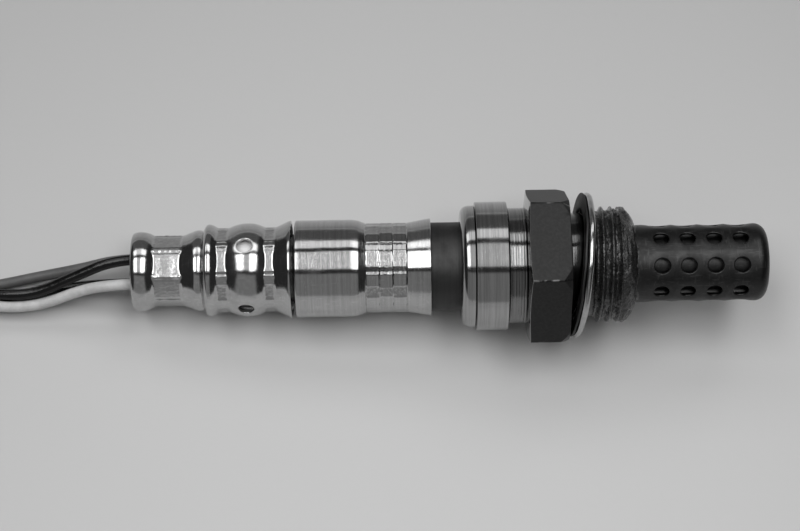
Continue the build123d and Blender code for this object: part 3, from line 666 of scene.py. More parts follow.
@dataclass(frozen=True)
class DrawnLine:
    """Outline of a drawn sheet through (station, radius, bend) points."""

    points: tuple[tuple[float, float, Bend], ...]

    @property
    def start(self) -> float:
        """Station of its rear end."""
        return self.points[0][0]

    @property
    def end(self) -> float:
        """Station of its front end."""
        return self.points[-1][0]

    def radius(self, station: float) -> float:
        """Radius at a station.

        Args:
            station: A station, which may lie past either end.

        Returns:
            The radius there.
        """
        if station <= self.start:
            return self.points[0][1]
        for (s_a, r_a, bend_a), (s_b, r_b, bend_b) in zip(self.points, self.points[1:]):
            if station <= s_b:
                share = (station - s_a) / (s_b - s_a)
                return r_a + (r_b - r_a) * self.reached(share, bend_a, bend_b)
        return self.points[-1][1]

    @staticmethod
    def reached(share: float, first: Bend, last: Bend) -> float:
        """How much of the way between two radii is done.

        Args:
            share: Share of the way along.
            first: How the sheet leaves the first point.
            last: How it meets the last point.

        Returns:
            The share from 0 to 1.
        """
        if first is Bend.CREST and last is Bend.CREST:
            return rise(share, 0.0, 1.0)
        if first is Bend.CREST:
            return share * share
        if last is Bend.CREST:
            return 1 - (1 - share) ** 2
        return share


CREST, CORNER = Bend.CREST, Bend.CORNER


def rounded_end(
    mesh: RoundMesh,
    station: float,
    outwards: float,
    outer: Callable[[float], float],
    wall: float,
) -> list[list[int]]:
    """Adds the loops of a sheet's rounded cut end, from its outer to its inner side.

    Args:
        mesh: The mesh.
        station: Station of the end's outermost line.
        outwards: 1 where the wall ends towards the tip, and -1 towards the rear.
        outer: Outer radius at an angle.
        wall: Thickness of the wall.

    Returns:
        The loops in order.
    """
    corner = wall * EDGE_SHARE
    loops = []
    for bend in (0.25, 0.55, 0.8, 1.0):
        turn = bend * QUARTER_TURN
        back = corner * (1 - math.sin(turn))
        loops.append((station - outwards * back, corner * (1 - math.cos(turn))))
    loops += [(s, wall - depth) for s, depth in reversed(loops)]
    return [mesh.loop(lambda a, s=s, d=d: (s, outer(a) - d)) for s, d in loops]


def new_graph(name: str) -> Graph:
    """Starts the node graph of a new material."""
    return Graph(bpy.data.materials.new(name))


Mask = Callable[[Graph, Socket], Wire]  # 0 to 1 at a place on the sensor


class Grain(Enum):
    """Which way the fine lines of a metal run, as noise stretch along and across the axis."""

    TURNED = (2.4, 0.04)
    DRAWN = (0.12, 5.0)
    CLOUDED = (1.2, 1.2)


@dataclass(frozen=True)
class MetalFinish:
    """Bare metal with fine lines, faint stains and scratches, hammered bands, and painted shade where a
    mask is given.
    """

    name: str
    grey: float
    roughness: float
    grain: Grain
    line_depth: float = 0.0015
    line_share: float = 0.1
    line_contrast: float = 0.16
    stain: float = 0.2
    stain_scale: float = 0.3
    stain_grey: float = 0.5
    clean_grey: float = 1.12
    scratches: float = 0.15
    scratch_grey: float = 1.6
    scratch_range: Pair = (0.63, 0.67)
    scratch_ways: tuple[Point, ...] = ((0.5, 5.0, 1.6), (3.4, 0.6, 1.1))
    hammered: Bands = ()
    hammer_depth: float = 0.02
    hammer_scale: Point = (5.0, 1.6, 1.6)
    hammer_soft: float = 0.15
    # Mask, grey and roughness of painted shade.
    painted_shade: Mask | None = None
    painted_shade_grey: float = 0.12
    stain_roughness: float = 0.08
    scratch_roughness: float = 0.12
    painted_shade_roughness: float = 0.35
    hammer_roughness: float = 0.03

    def scratch_marks(self, graph: Graph, place: Socket) -> Wire:
        """Thin short marks that run across the surface in two directions.

        Args:
            graph: The material's graph.
            place: The place on the sensor.

        Returns:
            1 on a mark and 0 beside it.
        """
        marks = []
        for stretch in self.scratch_ways:
            lines = graph.noise(graph.vector("MULTIPLY", place, stretch), 1.0, 2.0, 0.5)
            marks.append(lines.rise(*self.scratch_range))
        return graph.maths("MAXIMUM", *marks)

    def hammer_mask(self, graph: Graph, place: Socket) -> Wire:
        """Mask of the hammered bands.

        Args:
            graph: The material's graph.
            place: The place on the sensor.

        Returns:
            1 in a band and 0 elsewhere.
        """
        station, _, _ = graph.split(place)
        masks = [station.band(start, end, self.hammer_soft) for start, end in self.hammered]
        mask = masks[0]
        for more in masks[1:]:
            mask = graph.maths("MAXIMUM", mask, more)
        return mask

    def material(self, axis: SensorAxis) -> bpy.types.Material:
        """Builds the material.

        Args:
            axis: The sensor's axis, along which the lines are laid.

        Returns:
            The material.
        """
        graph = new_graph(self.name)
        place = axis.place_in(graph)
        along, across = self.grain.value
        lines = graph.noise(graph.vector("MULTIPLY", place, (along, across, across)), 1.0, 6.0, 0.8)
        clouds = graph.noise(place, self.stain_scale, 4.0).rise(0.42, 0.75)
        marks = self.scratch_marks(graph, place) * self.scratches
        contrast = (lines - 0.5).rise(-self.line_contrast, self.line_contrast)
        shade = self.stain * clouds + self.line_share * contrast
        colour = graph.mix(shade, self.grey * self.clean_grey, self.grey * self.stain_grey)
        colour = graph.mix(marks, colour, min(1.0, self.grey * self.scratch_grey))
        rough = self.roughness + self.stain_roughness * clouds + self.scratch_roughness * marks
        # Painted shade: where a mask is given, as on the gasket's rear side, the colour is darkened and
        # roughened.
        if self.painted_shade is not None:
            painted_shade = self.painted_shade(graph, place)
            colour = graph.mix(painted_shade, colour, self.grey * self.painted_shade_grey)
            rough = rough + self.painted_shade_roughness * painted_shade
        relief = graph.bump(lines, self.line_depth)
        if self.hammered:
            mask = self.hammer_mask(graph, place)
            dents = graph.noise(graph.vector("MULTIPLY", place, self.hammer_scale), 1.0, 3.0)
            relief = graph.bump(dents * mask, self.hammer_depth, relief)
            rough = rough + self.hammer_roughness * mask
        graph.surface(
            {"Base Color": colour, "Metallic": 1.0, "Roughness": rough, "Normal": relief}
        )
        return graph.owner


@dataclass(frozen=True)
class ShellFinish:
    """The shell's finishes: bright turned ends, dark forged hexagon, compound on the thread, and
    painted shade in its grooves and recesses.
    """

    name: str
    bevel_start: Place
    bevel_end: Place
    hexagon_end: float
    thread_start: float
    painted_shade_bands: tuple[tuple[float, float, float], ...]
    shade_band_soft: float = 0.04
    line_scale: Point = (4.0, 0.04, 0.04)
    speck_scale: float = 2.2
    cloud_scale: float = 0.35
    turned_grey: float = 0.4
    turned_greys: Pair = (0.72, 1.05)
    turned_roughness: float = 0.09
    forged_grey: float = 0.025
    forged_roughness: float = 0.42
    worn_grey: float = 0.3
    worn_scale: float = 0.55
    worn_width: float = 0.016
    corner_shade: float = 0.6
    groove_shade: float = 0.22
    compound_grey: float = 0.006
    compound_roughness: float = 0.14
    compound_soft: float = 0.3

    def forged(self, graph: Graph, place: Socket) -> tuple[Wire, Wire]:
        """Masks of the hexagon and of its worn corners.

        Args:
            graph: The material's graph.
            place: Station, distance across and distance above the axis.

        Returns:
            1 on the forged flats and chamfers, and 1 on the corners between two flats.
        """
        station, across, up = graph.split(place)
        radius = graph.maths("SQRT", across * across + up * up)
        (s_a, r_a), (s_b, r_b) = self.bevel_start, self.bevel_end
        bevel = s_a + (radius - r_a) * ((s_b - s_a) / (r_b - r_a))
        flats = (station - bevel).rise(0.03, 0.08)
        mask = flats * (1 - station.rise(self.hexagon_end - 0.01, self.hexagon_end + 0.03))
        turn = graph.maths("ARCTAN2", across, up) + FULL_TURN
        from_flat = graph.maths("PINGPONG", turn, HALF_SIXTH)
        corner = from_flat.rise(HALF_SIXTH - self.worn_width, HALF_SIXTH - self.worn_width / 2)
        return mask, mask * corner

    def material(self, axis: SensorAxis) -> bpy.types.Material:
        """Builds the material.

        Args:
            axis: The sensor's axis.

        Returns:
            The material.
        """
        graph = new_graph(self.name)
        place = axis.place_in(graph)
        station, _, _ = graph.split(place)
        lines = graph.noise(graph.vector("MULTIPLY", place, self.line_scale), 1.0, 5.0, 0.8)
        specks = graph.noise(place, self.speck_scale, 4.0, 0.6)
        speckled = specks.rise(0.3, 0.8)
        clouds = graph.noise(place, self.cloud_scale, 3.0).rise(0.4, 0.7)
        forged, corner = self.forged(graph, place)
        coat_start = self.thread_start - self.compound_soft
        coat_full = self.thread_start + self.compound_soft
        coated = (station + 0.9 * (specks - 0.5)).rise(coat_start, coat_full)
        low, high = (self.turned_grey * share for share in self.turned_greys)
        turned = graph.mix(lines.rise(0.34, 0.66), low, high)
        # Painted shade: the narrow groove and the neck's inner corners are painted nearly black, and
        # the recessed neck between them darker.
        for start, end, darkness in self.painted_shade_bands:
            turned = graph.mix(station.band(start, end, self.shade_band_soft) * darkness, turned, 0.0)
        # Painted shade on the relief groove, which lies between the hexagon and the gasket.
        groove = station.rise(self.hexagon_end - 0.1, self.hexagon_end)
        turned = graph.mix(groove * (1 - self.groove_shade), turned, 0.0)
        dark = graph.mix(speckled, self.forged_grey * 0.8, self.forged_grey * 1.2)
        dark = graph.mix(corner * self.corner_shade, dark, 0.0)
        worn = corner * graph.noise(place, self.worn_scale, 3.0).rise(0.5, 0.62)
        dark = graph.mix(worn * 0.5, dark, self.worn_grey)
        colour = graph.mix(forged, turned, dark)
        black = graph.mix(speckled, self.compound_grey, self.compound_grey * 3)
        colour = graph.mix(coated, colour, black)
        turned_rough = self.turned_roughness + 0.05 * lines + 0.04 * clouds
        rough = graph.blend(forged, turned_rough, self.forged_roughness + 0.1 * specks)
        rough = graph.blend(coated, rough, self.compound_roughness + 0.3 * specks)
        bare = (1 - forged) * (1 - coated)
        relief = graph.bump(lines * bare, 0.008)
        relief = graph.bump(specks * forged, 0.02, relief)
        lumps = graph.noise(place, 3.0, 4.0, 0.6) + graph.cells(place, 2.4)
        relief = graph.bump(lumps * coated, 0.1, relief)
        graph.surface(
            {
                "Base Color": colour,
                "Metallic": graph.blend(coated, 1 - 0.3 * forged, 0.0),
                "Roughness": rough,
                "Coat Weight": coated * 0.5,
                "Coat Roughness": 0.1,
                "Normal": relief,
            }
        )
        return graph.owner


class Relief(Enum):
    """Fine relief of a soft or moulded surface, as noise scale and depth in millimetres."""

    SMOOTH = (0.8, 0.015)
    MOULDED = (7.0, 0.012)
    GRAINY = (4.0, 0.03)
    POROUS = (9.0, 0.05)


@dataclass(frozen=True)
class PlainFinish:
    """Rubber, plastic, ceramic or lead insulation, with handling marks and dust."""

    name: str
    grey: float
    roughness: float
    relief: Relief
    dust: float = 0.1
    dust_grey: float = 0.35
    sheen: float = 0.0
    specular: float = 0.5

    def material(self, axis: SensorAxis) -> bpy.types.Material:
        """Builds the material.

        Args:
            axis: The sensor's axis.

        Returns:
            The material.
        """
        graph = new_graph(self.name)
        place = axis.place_in(graph)
        scale, depth = self.relief.value
        fine = graph.noise(place, scale, 4.0, 0.6)
        clouds = graph.noise(place, 0.45, 4.0)
        specks = graph.noise(place, 5.0, 2.0).rise(0.66, 0.74)
        shade = 0.5 * fine + 0.5 * clouds
        colour = graph.mix(shade.rise(0.3, 0.7), self.grey * 0.86, min(1.0, self.grey * 1.14))
        colour = graph.mix(specks * self.dust, colour, self.dust_grey)
        relief = graph.bump(fine, depth)
        relief = graph.bump(clouds, 0.1, relief)
        graph.surface(
            {
                "Base Color": colour,
                "Roughness": self.roughness + 0.12 * (clouds - 0.5) + 0.2 * specks * self.dust,
                "Sheen Weight": self.sheen,
                "Specular IOR Level": self.specular,
                "Normal": relief,
            }
        )
        return graph.owner


@dataclass(frozen=True)
class CompoundFinish:
    """Thick dark thread compound, wet in its hollows and dull on its crests."""

    name: str
    grey: float = 0.005
    crest_share: float = 4.0
    lump_scale: float = 2.4
    pit_stretch: Point = (1.4, 0.9, 0.9)
    pit_scale: float = 2.2
    speck_scale: float = 8.0
    speck_grey: float = 0.25
    relief: float = 0.2

    def material(self, axis: SensorAxis) -> bpy.types.Material:
        """Builds the material.

        Args:
            axis: The sensor's axis.

        Returns:
            The material.
        """
        graph = new_graph(self.name)
        place = axis.place_in(graph)
        lumps = graph.noise(place, self.lump_scale, 5.0, 0.65)
        stretched = graph.vector("MULTIPLY", place, self.pit_stretch)
        pits = graph.cells(stretched, self.pit_scale)
        specks = graph.noise(place, self.speck_scale, 2.0).rise(0.64, 0.7)
        colour = graph.mix(lumps.rise(0.4, 0.75), self.grey, self.grey * self.crest_share)
        colour = graph.mix(specks * 0.3, colour, self.speck_grey)
        relief = graph.bump(lumps + 0.5 * pits, self.relief)
        graph.surface(
            {
                "Base Color": colour,
                "Metallic": 0.25 * specks,
                "Roughness": 0.14 + 0.3 * lumps,
                "Coat Weight": 0.5 * (1 - lumps),
                "Coat Roughness": 0.08,
                "Normal": relief,
            }
        )
        return graph.owner


Finish = MetalFinish | ShellFinish | PlainFinish | CompoundFinish
Finishes = dict[str, Finish]


def finish_table(
    cover_bands: Bands, sleeve_bands: Bands, shell: "SensorShell", shaded_rear_side: Mask
) -> Finishes:
    """The finish of each of the record's material slots.

    Args:
        cover_bands: Crimped bands of the filter cover.
        sleeve_bands: Crimped bands of the rear cover.
        shell: The shell, whose parts differ in finish.
        shaded_rear_side: Mask of the gasket's rear side.

    Returns:
        The finishes by slot name.
    """
    finishes = [
        MetalFinish(
            "drawn_steel", 0.43, 0.11, Grain.CLOUDED, line_depth=0.01, line_share=0.2, stain=0.15,
            scratches=0.25, hammered=cover_bands, hammer_depth=0.004,
        ),
        MetalFinish(
            "bright_steel", 0.42, 0.1, Grain.TURNED, line_depth=0.02, line_share=0.35, stain=0.1,
            scratches=0.2, hammered=sleeve_bands, hammer_depth=0.004,
        ),
        MetalFinish(
            "heat_darkened_steel", 0.056, 0.5, Grain.TURNED, line_depth=0.02, line_share=0.3,
            stain=0.4, scratches=0.1,
        ),
        MetalFinish(
            "gasket_steel", 0.4, 0.16, Grain.TURNED, line_depth=0.002, line_share=0.2, stain=0.4,
            scratches=0.3, painted_shade=shaded_rear_side,
        ),
        MetalFinish(
            "tube_steel", 0.038, 0.36, Grain.CLOUDED, line_depth=0.01, line_share=0.3, stain=0.35,
            scratches=0.8,
        ),
        MetalFinish("contact_metal", 0.55, 0.28, Grain.DRAWN),
        ShellFinish(
            "shell_steel",
            bevel_start=(shell.neck_end, shell.neck_radius),
            bevel_end=(shell.rear_corner, shell.hexagon_radius(HALF_SIXTH)),
            hexagon_end=shell.front,
            thread_start=shell.thread_start,
            painted_shade_bands=shell.painted_shade_bands,
        ),
        CompoundFinish("thread_compound"),
        PlainFinish("element_ceramic", 0.62, 0.5, Relief.MOULDED),
        PlainFinish("heater_ceramic", 0.5, 0.45, Relief.MOULDED),
        PlainFinish("white_ceramic", 0.75, 0.4, Relief.MOULDED),
        PlainFinish("pressed_talc", 0.55, 0.85, Relief.GRAINY),
        PlainFinish("grommet_rubber", 0.02, 0.55, Relief.GRAINY, dust=0.35),
        PlainFinish("filter_fluoropolymer", 0.93, 0.6, Relief.POROUS, dust=0.0),
        PlainFinish("lead_black", 0.004, 0.2, Relief.SMOOTH, dust=0.06, specular=0.3),
        PlainFinish("lead_grey", 0.1, 0.4, Relief.SMOOTH, specular=0.3),
        PlainFinish("lead_white", 0.52, 0.4, Relief.SMOOTH, dust=0.05, specular=0.3),
        PlainFinish("boot_rubber", 0.015, 0.5, Relief.GRAINY, dust=0.3),
        PlainFinish("harness_braid", 0.022, 0.5, Relief.MOULDED, dust=0.25, sheen=0.15),
        PlainFinish("tie_plastic", 0.02, 0.38, Relief.MOULDED),
        PlainFinish("connector_plastic", 0.045, 0.42, Relief.MOULDED, dust=0.2),
        PlainFinish("seal_rubber", 0.25, 0.5, Relief.SMOOTH),
        PlainFinish("lock_plastic", 0.3, 0.4, Relief.MOULDED),
    ]
    return {finish.name: finish for finish in finishes}


class Piece:
    """Base of the sub-assemblies: puts a finished object into the frame."""

    @staticmethod
    def seat(made: bpy.types.Object, slot: str, *nodes: str) -> bpy.types.Object:
        """Lets an object ride on the body in place of its nodes.

        Args:
            made: The object.
            slot: Its material slot in the record.
            nodes: The nodes that it stands for.

        Returns:
            The object.
        """
        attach(made, BODY)
        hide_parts(*nodes)
        log.info("%s: stands for %s in %s", made.name, ", ".join(nodes), slot)
        return made


class RoundPiece(Piece):
    """Base of the sub-assemblies that are one closed mesh round the sensor's axis."""

    slot: ClassVar[str]
    node: ClassVar[str]
    sharp: ClassVar[float]

    def shape(self, axis: SensorAxis) -> RoundMesh:
        """Lays out the mesh on an axis."""
        raise NotImplementedError

    def build(self, axis: SensorAxis, finishes: Finishes) -> bpy.types.Object:
        """Builds the piece in place of its node.

        Args:
            axis: The sensor's axis.
            finishes: Finishes by slot name.

        Returns:
            The piece.
        """
        material = finishes[self.slot].material(axis)
        return self.seat(self.shape(axis).object(material, self.sharp), self.slot, self.node)


@dataclass(frozen=True)
class FilterCover(RoundPiece):
    """Drawn cover at the rear: rolled rim, crimped grip, bulges and vents."""

    slot: ClassVar[str] = "drawn_steel"
    node: ClassVar[str] = "filter_cover"
    sharp: ClassVar[float] = 50.0
    wall: float = 0.4
    line: DrawnLine = DrawnLine(
        (
            (0.0, 5.9, CORNER), (1.2, 6.2, CREST), (3.4, 5.47, CORNER), (7.7, 5.47, CORNER),
            (9.6, 6.2, CORNER), (10.3, 6.33, CREST), (11.0, 6.15, CORNER), (11.8, 7.2, CREST),
            (13.3, 6.55, CORNER), (14.9, 6.55, CORNER), (18.0, 7.3, CREST), (20.7, 6.55, CORNER),
            (22.2, 6.55, CORNER), (24.2, 7.5, CORNER), (24.7, 7.6, CREST),
        )
    )
    crimps: tuple[JawCrimp, ...] = (
        JawCrimp(3.4, 7.7, 0.2, soft=0.16, dent_depth=0.013),
        JawCrimp(13.3, 14.9, 0.2, soft=0.14, ridge_height=0.08, dent_depth=0.026),
        JawCrimp(20.7, 22.2, 0.2, soft=0.14, ridge_height=0.08, dent_depth=0.026),
    )
    vents: Vents = Vents()
    vent_edge: float = 0.09
    vent_dimple: float = 0.03
    vent_dimple_width: float = 0.22
    wrinkle: float = 0.02
    wrinkle_scale: Pair = (0.7, 2.5)
    crimp_reach: float = 1.0
    columns: int = 240
    vent_columns: int = 20
    step: float = 0.19

    @property
    def bands(self) -> Bands:
        """Stations between which each crimp lies."""
        return tuple((crimp.start, crimp.end) for crimp in self.crimps)

    def surface(self, station: float, angle: float) -> float:
        """Shape of the pressed and punched sheet.

        Args:
            station: Station of the point.
            angle: Its angle.

        Returns:
            Its outer radius.
        """
        round_radius = self.line.radius(station)
        radius = round_radius
        for crimp in self.crimps:
            if crimp.start - self.crimp_reach < station < crimp.end + self.crimp_reach:
                radius = crimp.press(station, angle, radius, round_radius)
        pitch = FULL_TURN / self.vents.count
        turn = (angle - self.vents.angle + pitch / 2) % pitch - pitch / 2
        from_vent = math.hypot(station - self.vents.station, turn * round_radius)
        drawn_in = self.vent_dimple * bell(from_vent - self.vents.radius, self.vent_dimple_width)
        return radius + self.wrinkle * wall_noise(station, angle, *self.wrinkle_scale) - drawn_in

    def shape(self, axis: SensorAxis) -> RoundMesh:
        """Lays out the cover as one closed sheet with its vents.

        Args:
            axis: The sensor's axis.

        Returns:
            The mesh.
        """
        angles = self.vents.angles(self.columns, self.vent_columns)
        mesh = RoundMesh("filter_cover_sheet", axis, angles)
        start, end = self.line.start, self.line.end
        field = self.vents.field
        corner = self.wall * EDGE_SHARE
        stations = even_steps(start + corner, field[0], self.step)
        first_row = len(stations) - 1
        stations += even_steps(*field, self.step)[1:]
        rows = range(first_row, len(stations) - 1)
        stations += even_steps(field[1], end - corner, self.step)[1:]
        outer, inner = self.vents.open(
            mesh, stations, rows, self.vent_columns, self.vent_edge, self.surface, self.wall
        )
        rear_end = rounded_end(mesh, start, -1, lambda a: self.surface(start, a), self.wall)
        front_end = rounded_end(mesh, end, 1, lambda a: self.surface(end, a), self.wall)
        mesh.skin([outer[0], *rear_end, inner[0]])
        mesh.skin([outer[-1], *front_end, inner[-1]])
        return mesh


@dataclass(frozen=True)
class RearCover(RoundPiece):
    """Bright sleeve with three crimped bands, and the narrow tube inside the filter cover."""

    slot: ClassVar[str] = "bright_steel"
    node: ClassVar[str] = "rear_cover"
    sharp: ClassVar[float] = 40.0
    wall: float = 0.5
    narrow_start: float = 11.0
    narrow_radius: float = 5.42
    narrow_wall: float = 0.45
    narrow_step: float = 0.32
    step_station: float = 25.3
    step_seam: float = 0.1
    corner: float = 0.28
    line: DrawnLine = DrawnLine(
        (
            (25.3, 7.6, CORNER), (33.6, 7.6, CREST), (35.2, 7.4, CORNER), (36.3, 6.97, CORNER),
            (42.6, 6.97, CORNER), (46.4, 7.63, CORNER),
        )
    )
    crimps: tuple[JawCrimp, ...] = (
        JawCrimp(36.3, 38.36, 0.1, soft=0.1, ridge_width=0.34, ridge_height=0.07, dent_depth=0.016),
        JawCrimp(38.44, 40.46, 0.06, soft=0.1, ridge_width=0.34, ridge_height=0.08, dent_depth=0.016),
        JawCrimp(40.54, 42.6, 0.1, soft=0.1, ridge_width=0.34, ridge_height=0.07, dent_depth=0.016),
    )
    crimp_reach: float = 0.6
    crimp_gap: float = 0.08
    crease_depth: float = 0.09
    crease_width: float = 0.07
    wrinkle: float = 0.02
    wrinkle_scale: Pair = (0.5, 2.0)
    vents: Vents = Vents()
    vent_edge: float = 0.1
    columns: int = 224
    vent_columns: int = 24
    plain_step: float = 0.6
    fine_step: float = 0.075
    fine_reach: Pair = (2.4, 0.6)
    end_step: float = 0.3
    inner_stride: int = 4

    @property
    def bands(self) -> Bands:
        """Stations between which each crimp lies."""
        return tuple((crimp.start, crimp.end) for crimp in self.crimps)

    def surface(self, station: float, angle: float) -> float:
        """Shape of the wide sleeve.

        Args:
            station: Station of the point.
            angle: Its angle.

        Returns:
            Its outer radius.
        """
        round_radius = self.line.radius(station)
        radius = round_radius
        for crimp in self.crimps:
            if crimp.start - self.crimp_reach < station < crimp.end + self.crimp_reach:
                radius = crimp.press(station, angle, radius, round_radius)
        ends = (crimp.end + self.crimp_gap / 2 for crimp in self.crimps)
        edges = (self.crimps[0].start, *ends)
        crease = max(bell(station - edge, self.crease_width) for edge in edges)
        wave = wall_noise(station, angle, *self.wrinkle_scale)
        return radius + self.wrinkle * wave - self.crease_depth * crease

    def narrow_tube(self, mesh: RoundMesh) -> tuple[list[int], list[int]]:
        """Adds the narrow tube with its vents.

        Args:
            mesh: The cover's mesh.

        Returns:
            Its last outer loop and its last inner loop.
        """
        stations = [self.narrow_start, *even_steps(*self.vents.field, self.narrow_step)]
        rows = range(1, len(stations) - 1)
        stations.append(self.step_station - self.corner)
        outer, inner = self.vents.open(
            mesh,
            stations,
            rows,
            self.vent_columns,
            self.vent_edge,
            lambda _station, _angle: self.narrow_radius,
            self.narrow_wall,
        )
        mesh.bridge(outer[0], inner[0])
        return outer[-1], inner[-1]

    def shape(self, axis: SensorAxis) -> RoundMesh:
        """Lays out the cover as one closed sheet.

        Args:
            axis: The sensor's axis.

        Returns:
            The mesh.
        """
        mesh = RoundMesh("rear_cover_sleeve", axis, self.vents.angles(self.columns, self.vent_columns))
        narrow_outer, narrow_inner = self.narrow_tube(mesh)
        start, end = self.step_station, self.line.end
        radius = self.line.points[0][1]
        face = [
            mesh.ring(start, self.narrow_radius + self.step_seam),
            mesh.ring(start, radius - self.corner),
        ]
        for share in (0.25, 0.5, 0.75):
            turn = QUARTER_TURN * share
            along = start + self.corner * (1 - math.cos(turn))
            face.append(mesh.ring(along, radius - self.corner * (1 - math.sin(turn))))
        before, after = self.fine_reach
        crimped = (self.crimps[0].start - before, self.crimps[-1].end + after)
        stations = even_steps(start + self.corner, crimped[0], self.plain_step)
        stations += even_steps(*crimped, self.fine_step)[1:]
        stations += even_steps(crimped[1], end - self.wall * EDGE_SHARE, self.end_step)[1:]
        outer = [mesh.loop(lambda a, s=s: (s, self.surface(s, a))) for s in stations]
        inner_rows = stations[self.inner_stride::self.inner_stride]
        inner = [mesh.loop(lambda a, s=s: (s, self.surface(s, a) - self.wall)) for s in inner_rows]
        lip = rounded_end(mesh, end, 1, lambda a: self.surface(end, a), self.wall)
        back = [
            mesh.ring(start + self.wall, radius - self.wall - self.step_seam),
            mesh.ring(start + self.wall, self.narrow_radius - self.narrow_wall),
        ]
        mesh.skin([narrow_outer, *face, *outer, *lip, *reversed(inner), *back, narrow_inner])
        return mesh


@dataclass(frozen=True)
class Lumps:
    """Lumpy relief of smeared compound in three sizes, each as features along and across."""

    coarse: tuple[float, float]
    fine: tuple[float, float]
    strings: tuple[float, float]
    strings_shift: float = 7.0

    def read(self, station: float, angle: float) -> tuple[float, float, float]:
        """Coarse lumps, fine lumps and drawn-out strings at a point, each from -1 to 1."""
        lumps = (wall_noise(station, angle, *scale) for scale in (self.coarse, self.fine))
        return *lumps, wall_noise(station, angle, *self.strings, self.strings_shift)


@dataclass(frozen=True)
class SensorShell(RoundPiece):
    """Turned steel body: rolled shoulder, ring, neck, hexagon, relief groove and thread."""

    slot: ClassVar[str] = "shell_steel"
    node: ClassVar[str] = "sensor_shell"
    sharp: ClassVar[float] = 32.0
    start: float = 50.95
    shoulder_radius: float = 9.5
    shoulder_corner: float = 1.6
    groove_start: float = 53.2
    groove_floor: float = 9.25
    ring_start: float = 53.32
    ring_end: float = 58.25
    ring_radius: float = 10.05
    edge: float = 0.08
    roll_share: float = 0.3
    neck_radius: float = 9.05
    neck_end: float = 61.1
    rear_corner: float = 61.6
    across_flats: float = 22.0
    front_corner: float = 66.4
    front: float = 67.7
    front_bevel_width: float = 0.85
    relief_radius: float = 8.1
    thread_start: float = 71.3
    thread_radius: float = 9.0
    thread_end: float = 75.5
    pitch: float = 1.5
    thread_depth: float = 0.92
    end: float = 77.0
    end_radius: float = 8.0
    bore: tuple[Place, ...] = (
        (77.0, 6.1), (74.7, 6.1), (74.7, 6.85), (73.8, 6.85), (73.8, 5.0), (72.2, 5.0), (72.2, 6.5),
        (57.1, 6.5), (57.1, 8.2), (52.25, 8.2), (52.25, 7.05), (50.95, 7.05),
    )
    relief_fillet: float = 0.4
    fillet_middle: float = 0.12
    corner_reach: float = 0.8
    blunt: float = 0.05
    ripple_depth: float = 0.05
    ripple_pitch: float = 0.42
    ripple_inset: Pair = (0.35, 0.4)
    ripple_step: float = 0.06
    crest_share: float = 0.14
    flank_share: float = 0.72
    lead_in_slope: float = 1.8
    compound: Lumps = Lumps((0.9, 5.0), (3.2, 16.0), (2.6, 2.2))
    compound_full: float = 1.4
    film: float = 0.05
    pool: float = 0.26
    pool_limit: float = 0.16
    compound_limit: float = 0.2
    chamfer_limit: float = 0.15
    columns: int = 240
    step: float = 0.11

    def hexagon_radius(self, angle: float) -> float:
        """Shape of the hexagon, with its corners blunted a little.

        Args:
            angle: Angle round the axis.

        Returns:
            The radius there.
        """
        sixth = FULL_TURN / 6
        from_corner = abs((angle % sixth) - sixth / 2)
        flat = self.across_flats / 2 / math.cos(sixth / 2 - from_corner)
        return flat - self.blunt * max(0.0, 1 - from_corner / math.radians(self.corner_reach))

    @property
    def painted_shade_bands(self) -> tuple[tuple[float, float, float], ...]:
        """Start, end and darkness of the painted shade: the narrow groove, both inner corners of the
        neck, and more lightly the recessed neck between them.
        """
        return (
            (self.groove_start - 0.05, self.ring_start + 0.05, 0.95),
            (self.ring_end - 0.02, self.ring_end + 0.24, 0.95),
            (self.ring_end + 0.24, self.neck_end - 0.2, 0.45),
            (self.neck_end - 0.2, self.neck_end + 0.04, 0.95),
        )

    @staticmethod
    def dome_station(rear: Place, front: Place, radius: float) -> float:
        """Station at which the dome through two (station, radius) points has a radius.

        Args:
            rear: Its rear point.
            front: Its front point.
            radius: The radius.

        Returns:
            The station.
        """
        (s_a, r_a), (s_b, r_b) = rear, front
        centre = (s_b**2 + r_b**2 - s_a**2 - r_a**2) / (2 * (s_b - s_a))
        reach = math.hypot(s_a - centre, r_a)
        side = 1 if s_a > centre else -1
        return centre + side * math.sqrt(reach**2 - radius**2)

    def hexagon_loops(self, mesh: RoundMesh) -> list[list[int]]:
        """Adds the loops of the hexagon, from its rear bevel to its front face.

        Args:
            mesh: The shell's mesh.

        Returns:
            The loops in order.
        """
        corner = self.hexagon_radius(HALF_SIXTH)
        face = corner - self.front_bevel_width
        bevel = ((self.neck_end, self.neck_radius), (self.rear_corner, corner))
        front = ((self.front_corner, corner), (self.front, face))
        edge = self.edge

        def bevel_edge(angle: float) -> Place:
            """Where the bevel ends, just below the flats."""
            radius = self.hexagon_radius(angle)
            return self.dome_station(*bevel, radius), radius - edge

        def rolled_edge(angle: float) -> Place:
            """Middle of the small rounding behind the flats."""
            station, radius = bevel_edge(angle)
            return station + self.roll_share * edge, radius + (1 - self.roll_share) * edge

        def rear_edge(angle: float) -> Place:
            """Where the flats start."""
            station, radius = bevel_edge(angle)
            return station + edge, radius + edge

        def front_edge(angle: float) -> Place:
            """Where the flats end: at the front chamfer or at the front face."""
            radius = self.hexagon_radius(angle)
            station = self.front if radius < face else self.dome_station(*front, radius)
            return station - edge, radius

        places = [bevel_edge, rolled_edge, rear_edge]
        for share in (0.25, 0.5, 0.75):
            places.append(
                lambda a, share=share: (
                    rear_edge(a)[0] + share * (front_edge(a)[0] - rear_edge(a)[0]),
                    self.hexagon_radius(a),
                )
            )
        places += [front_edge, lambda a: (self.front, min(self.hexagon_radius(a) - edge, face))]
        return [mesh.loop(place) for place in places]

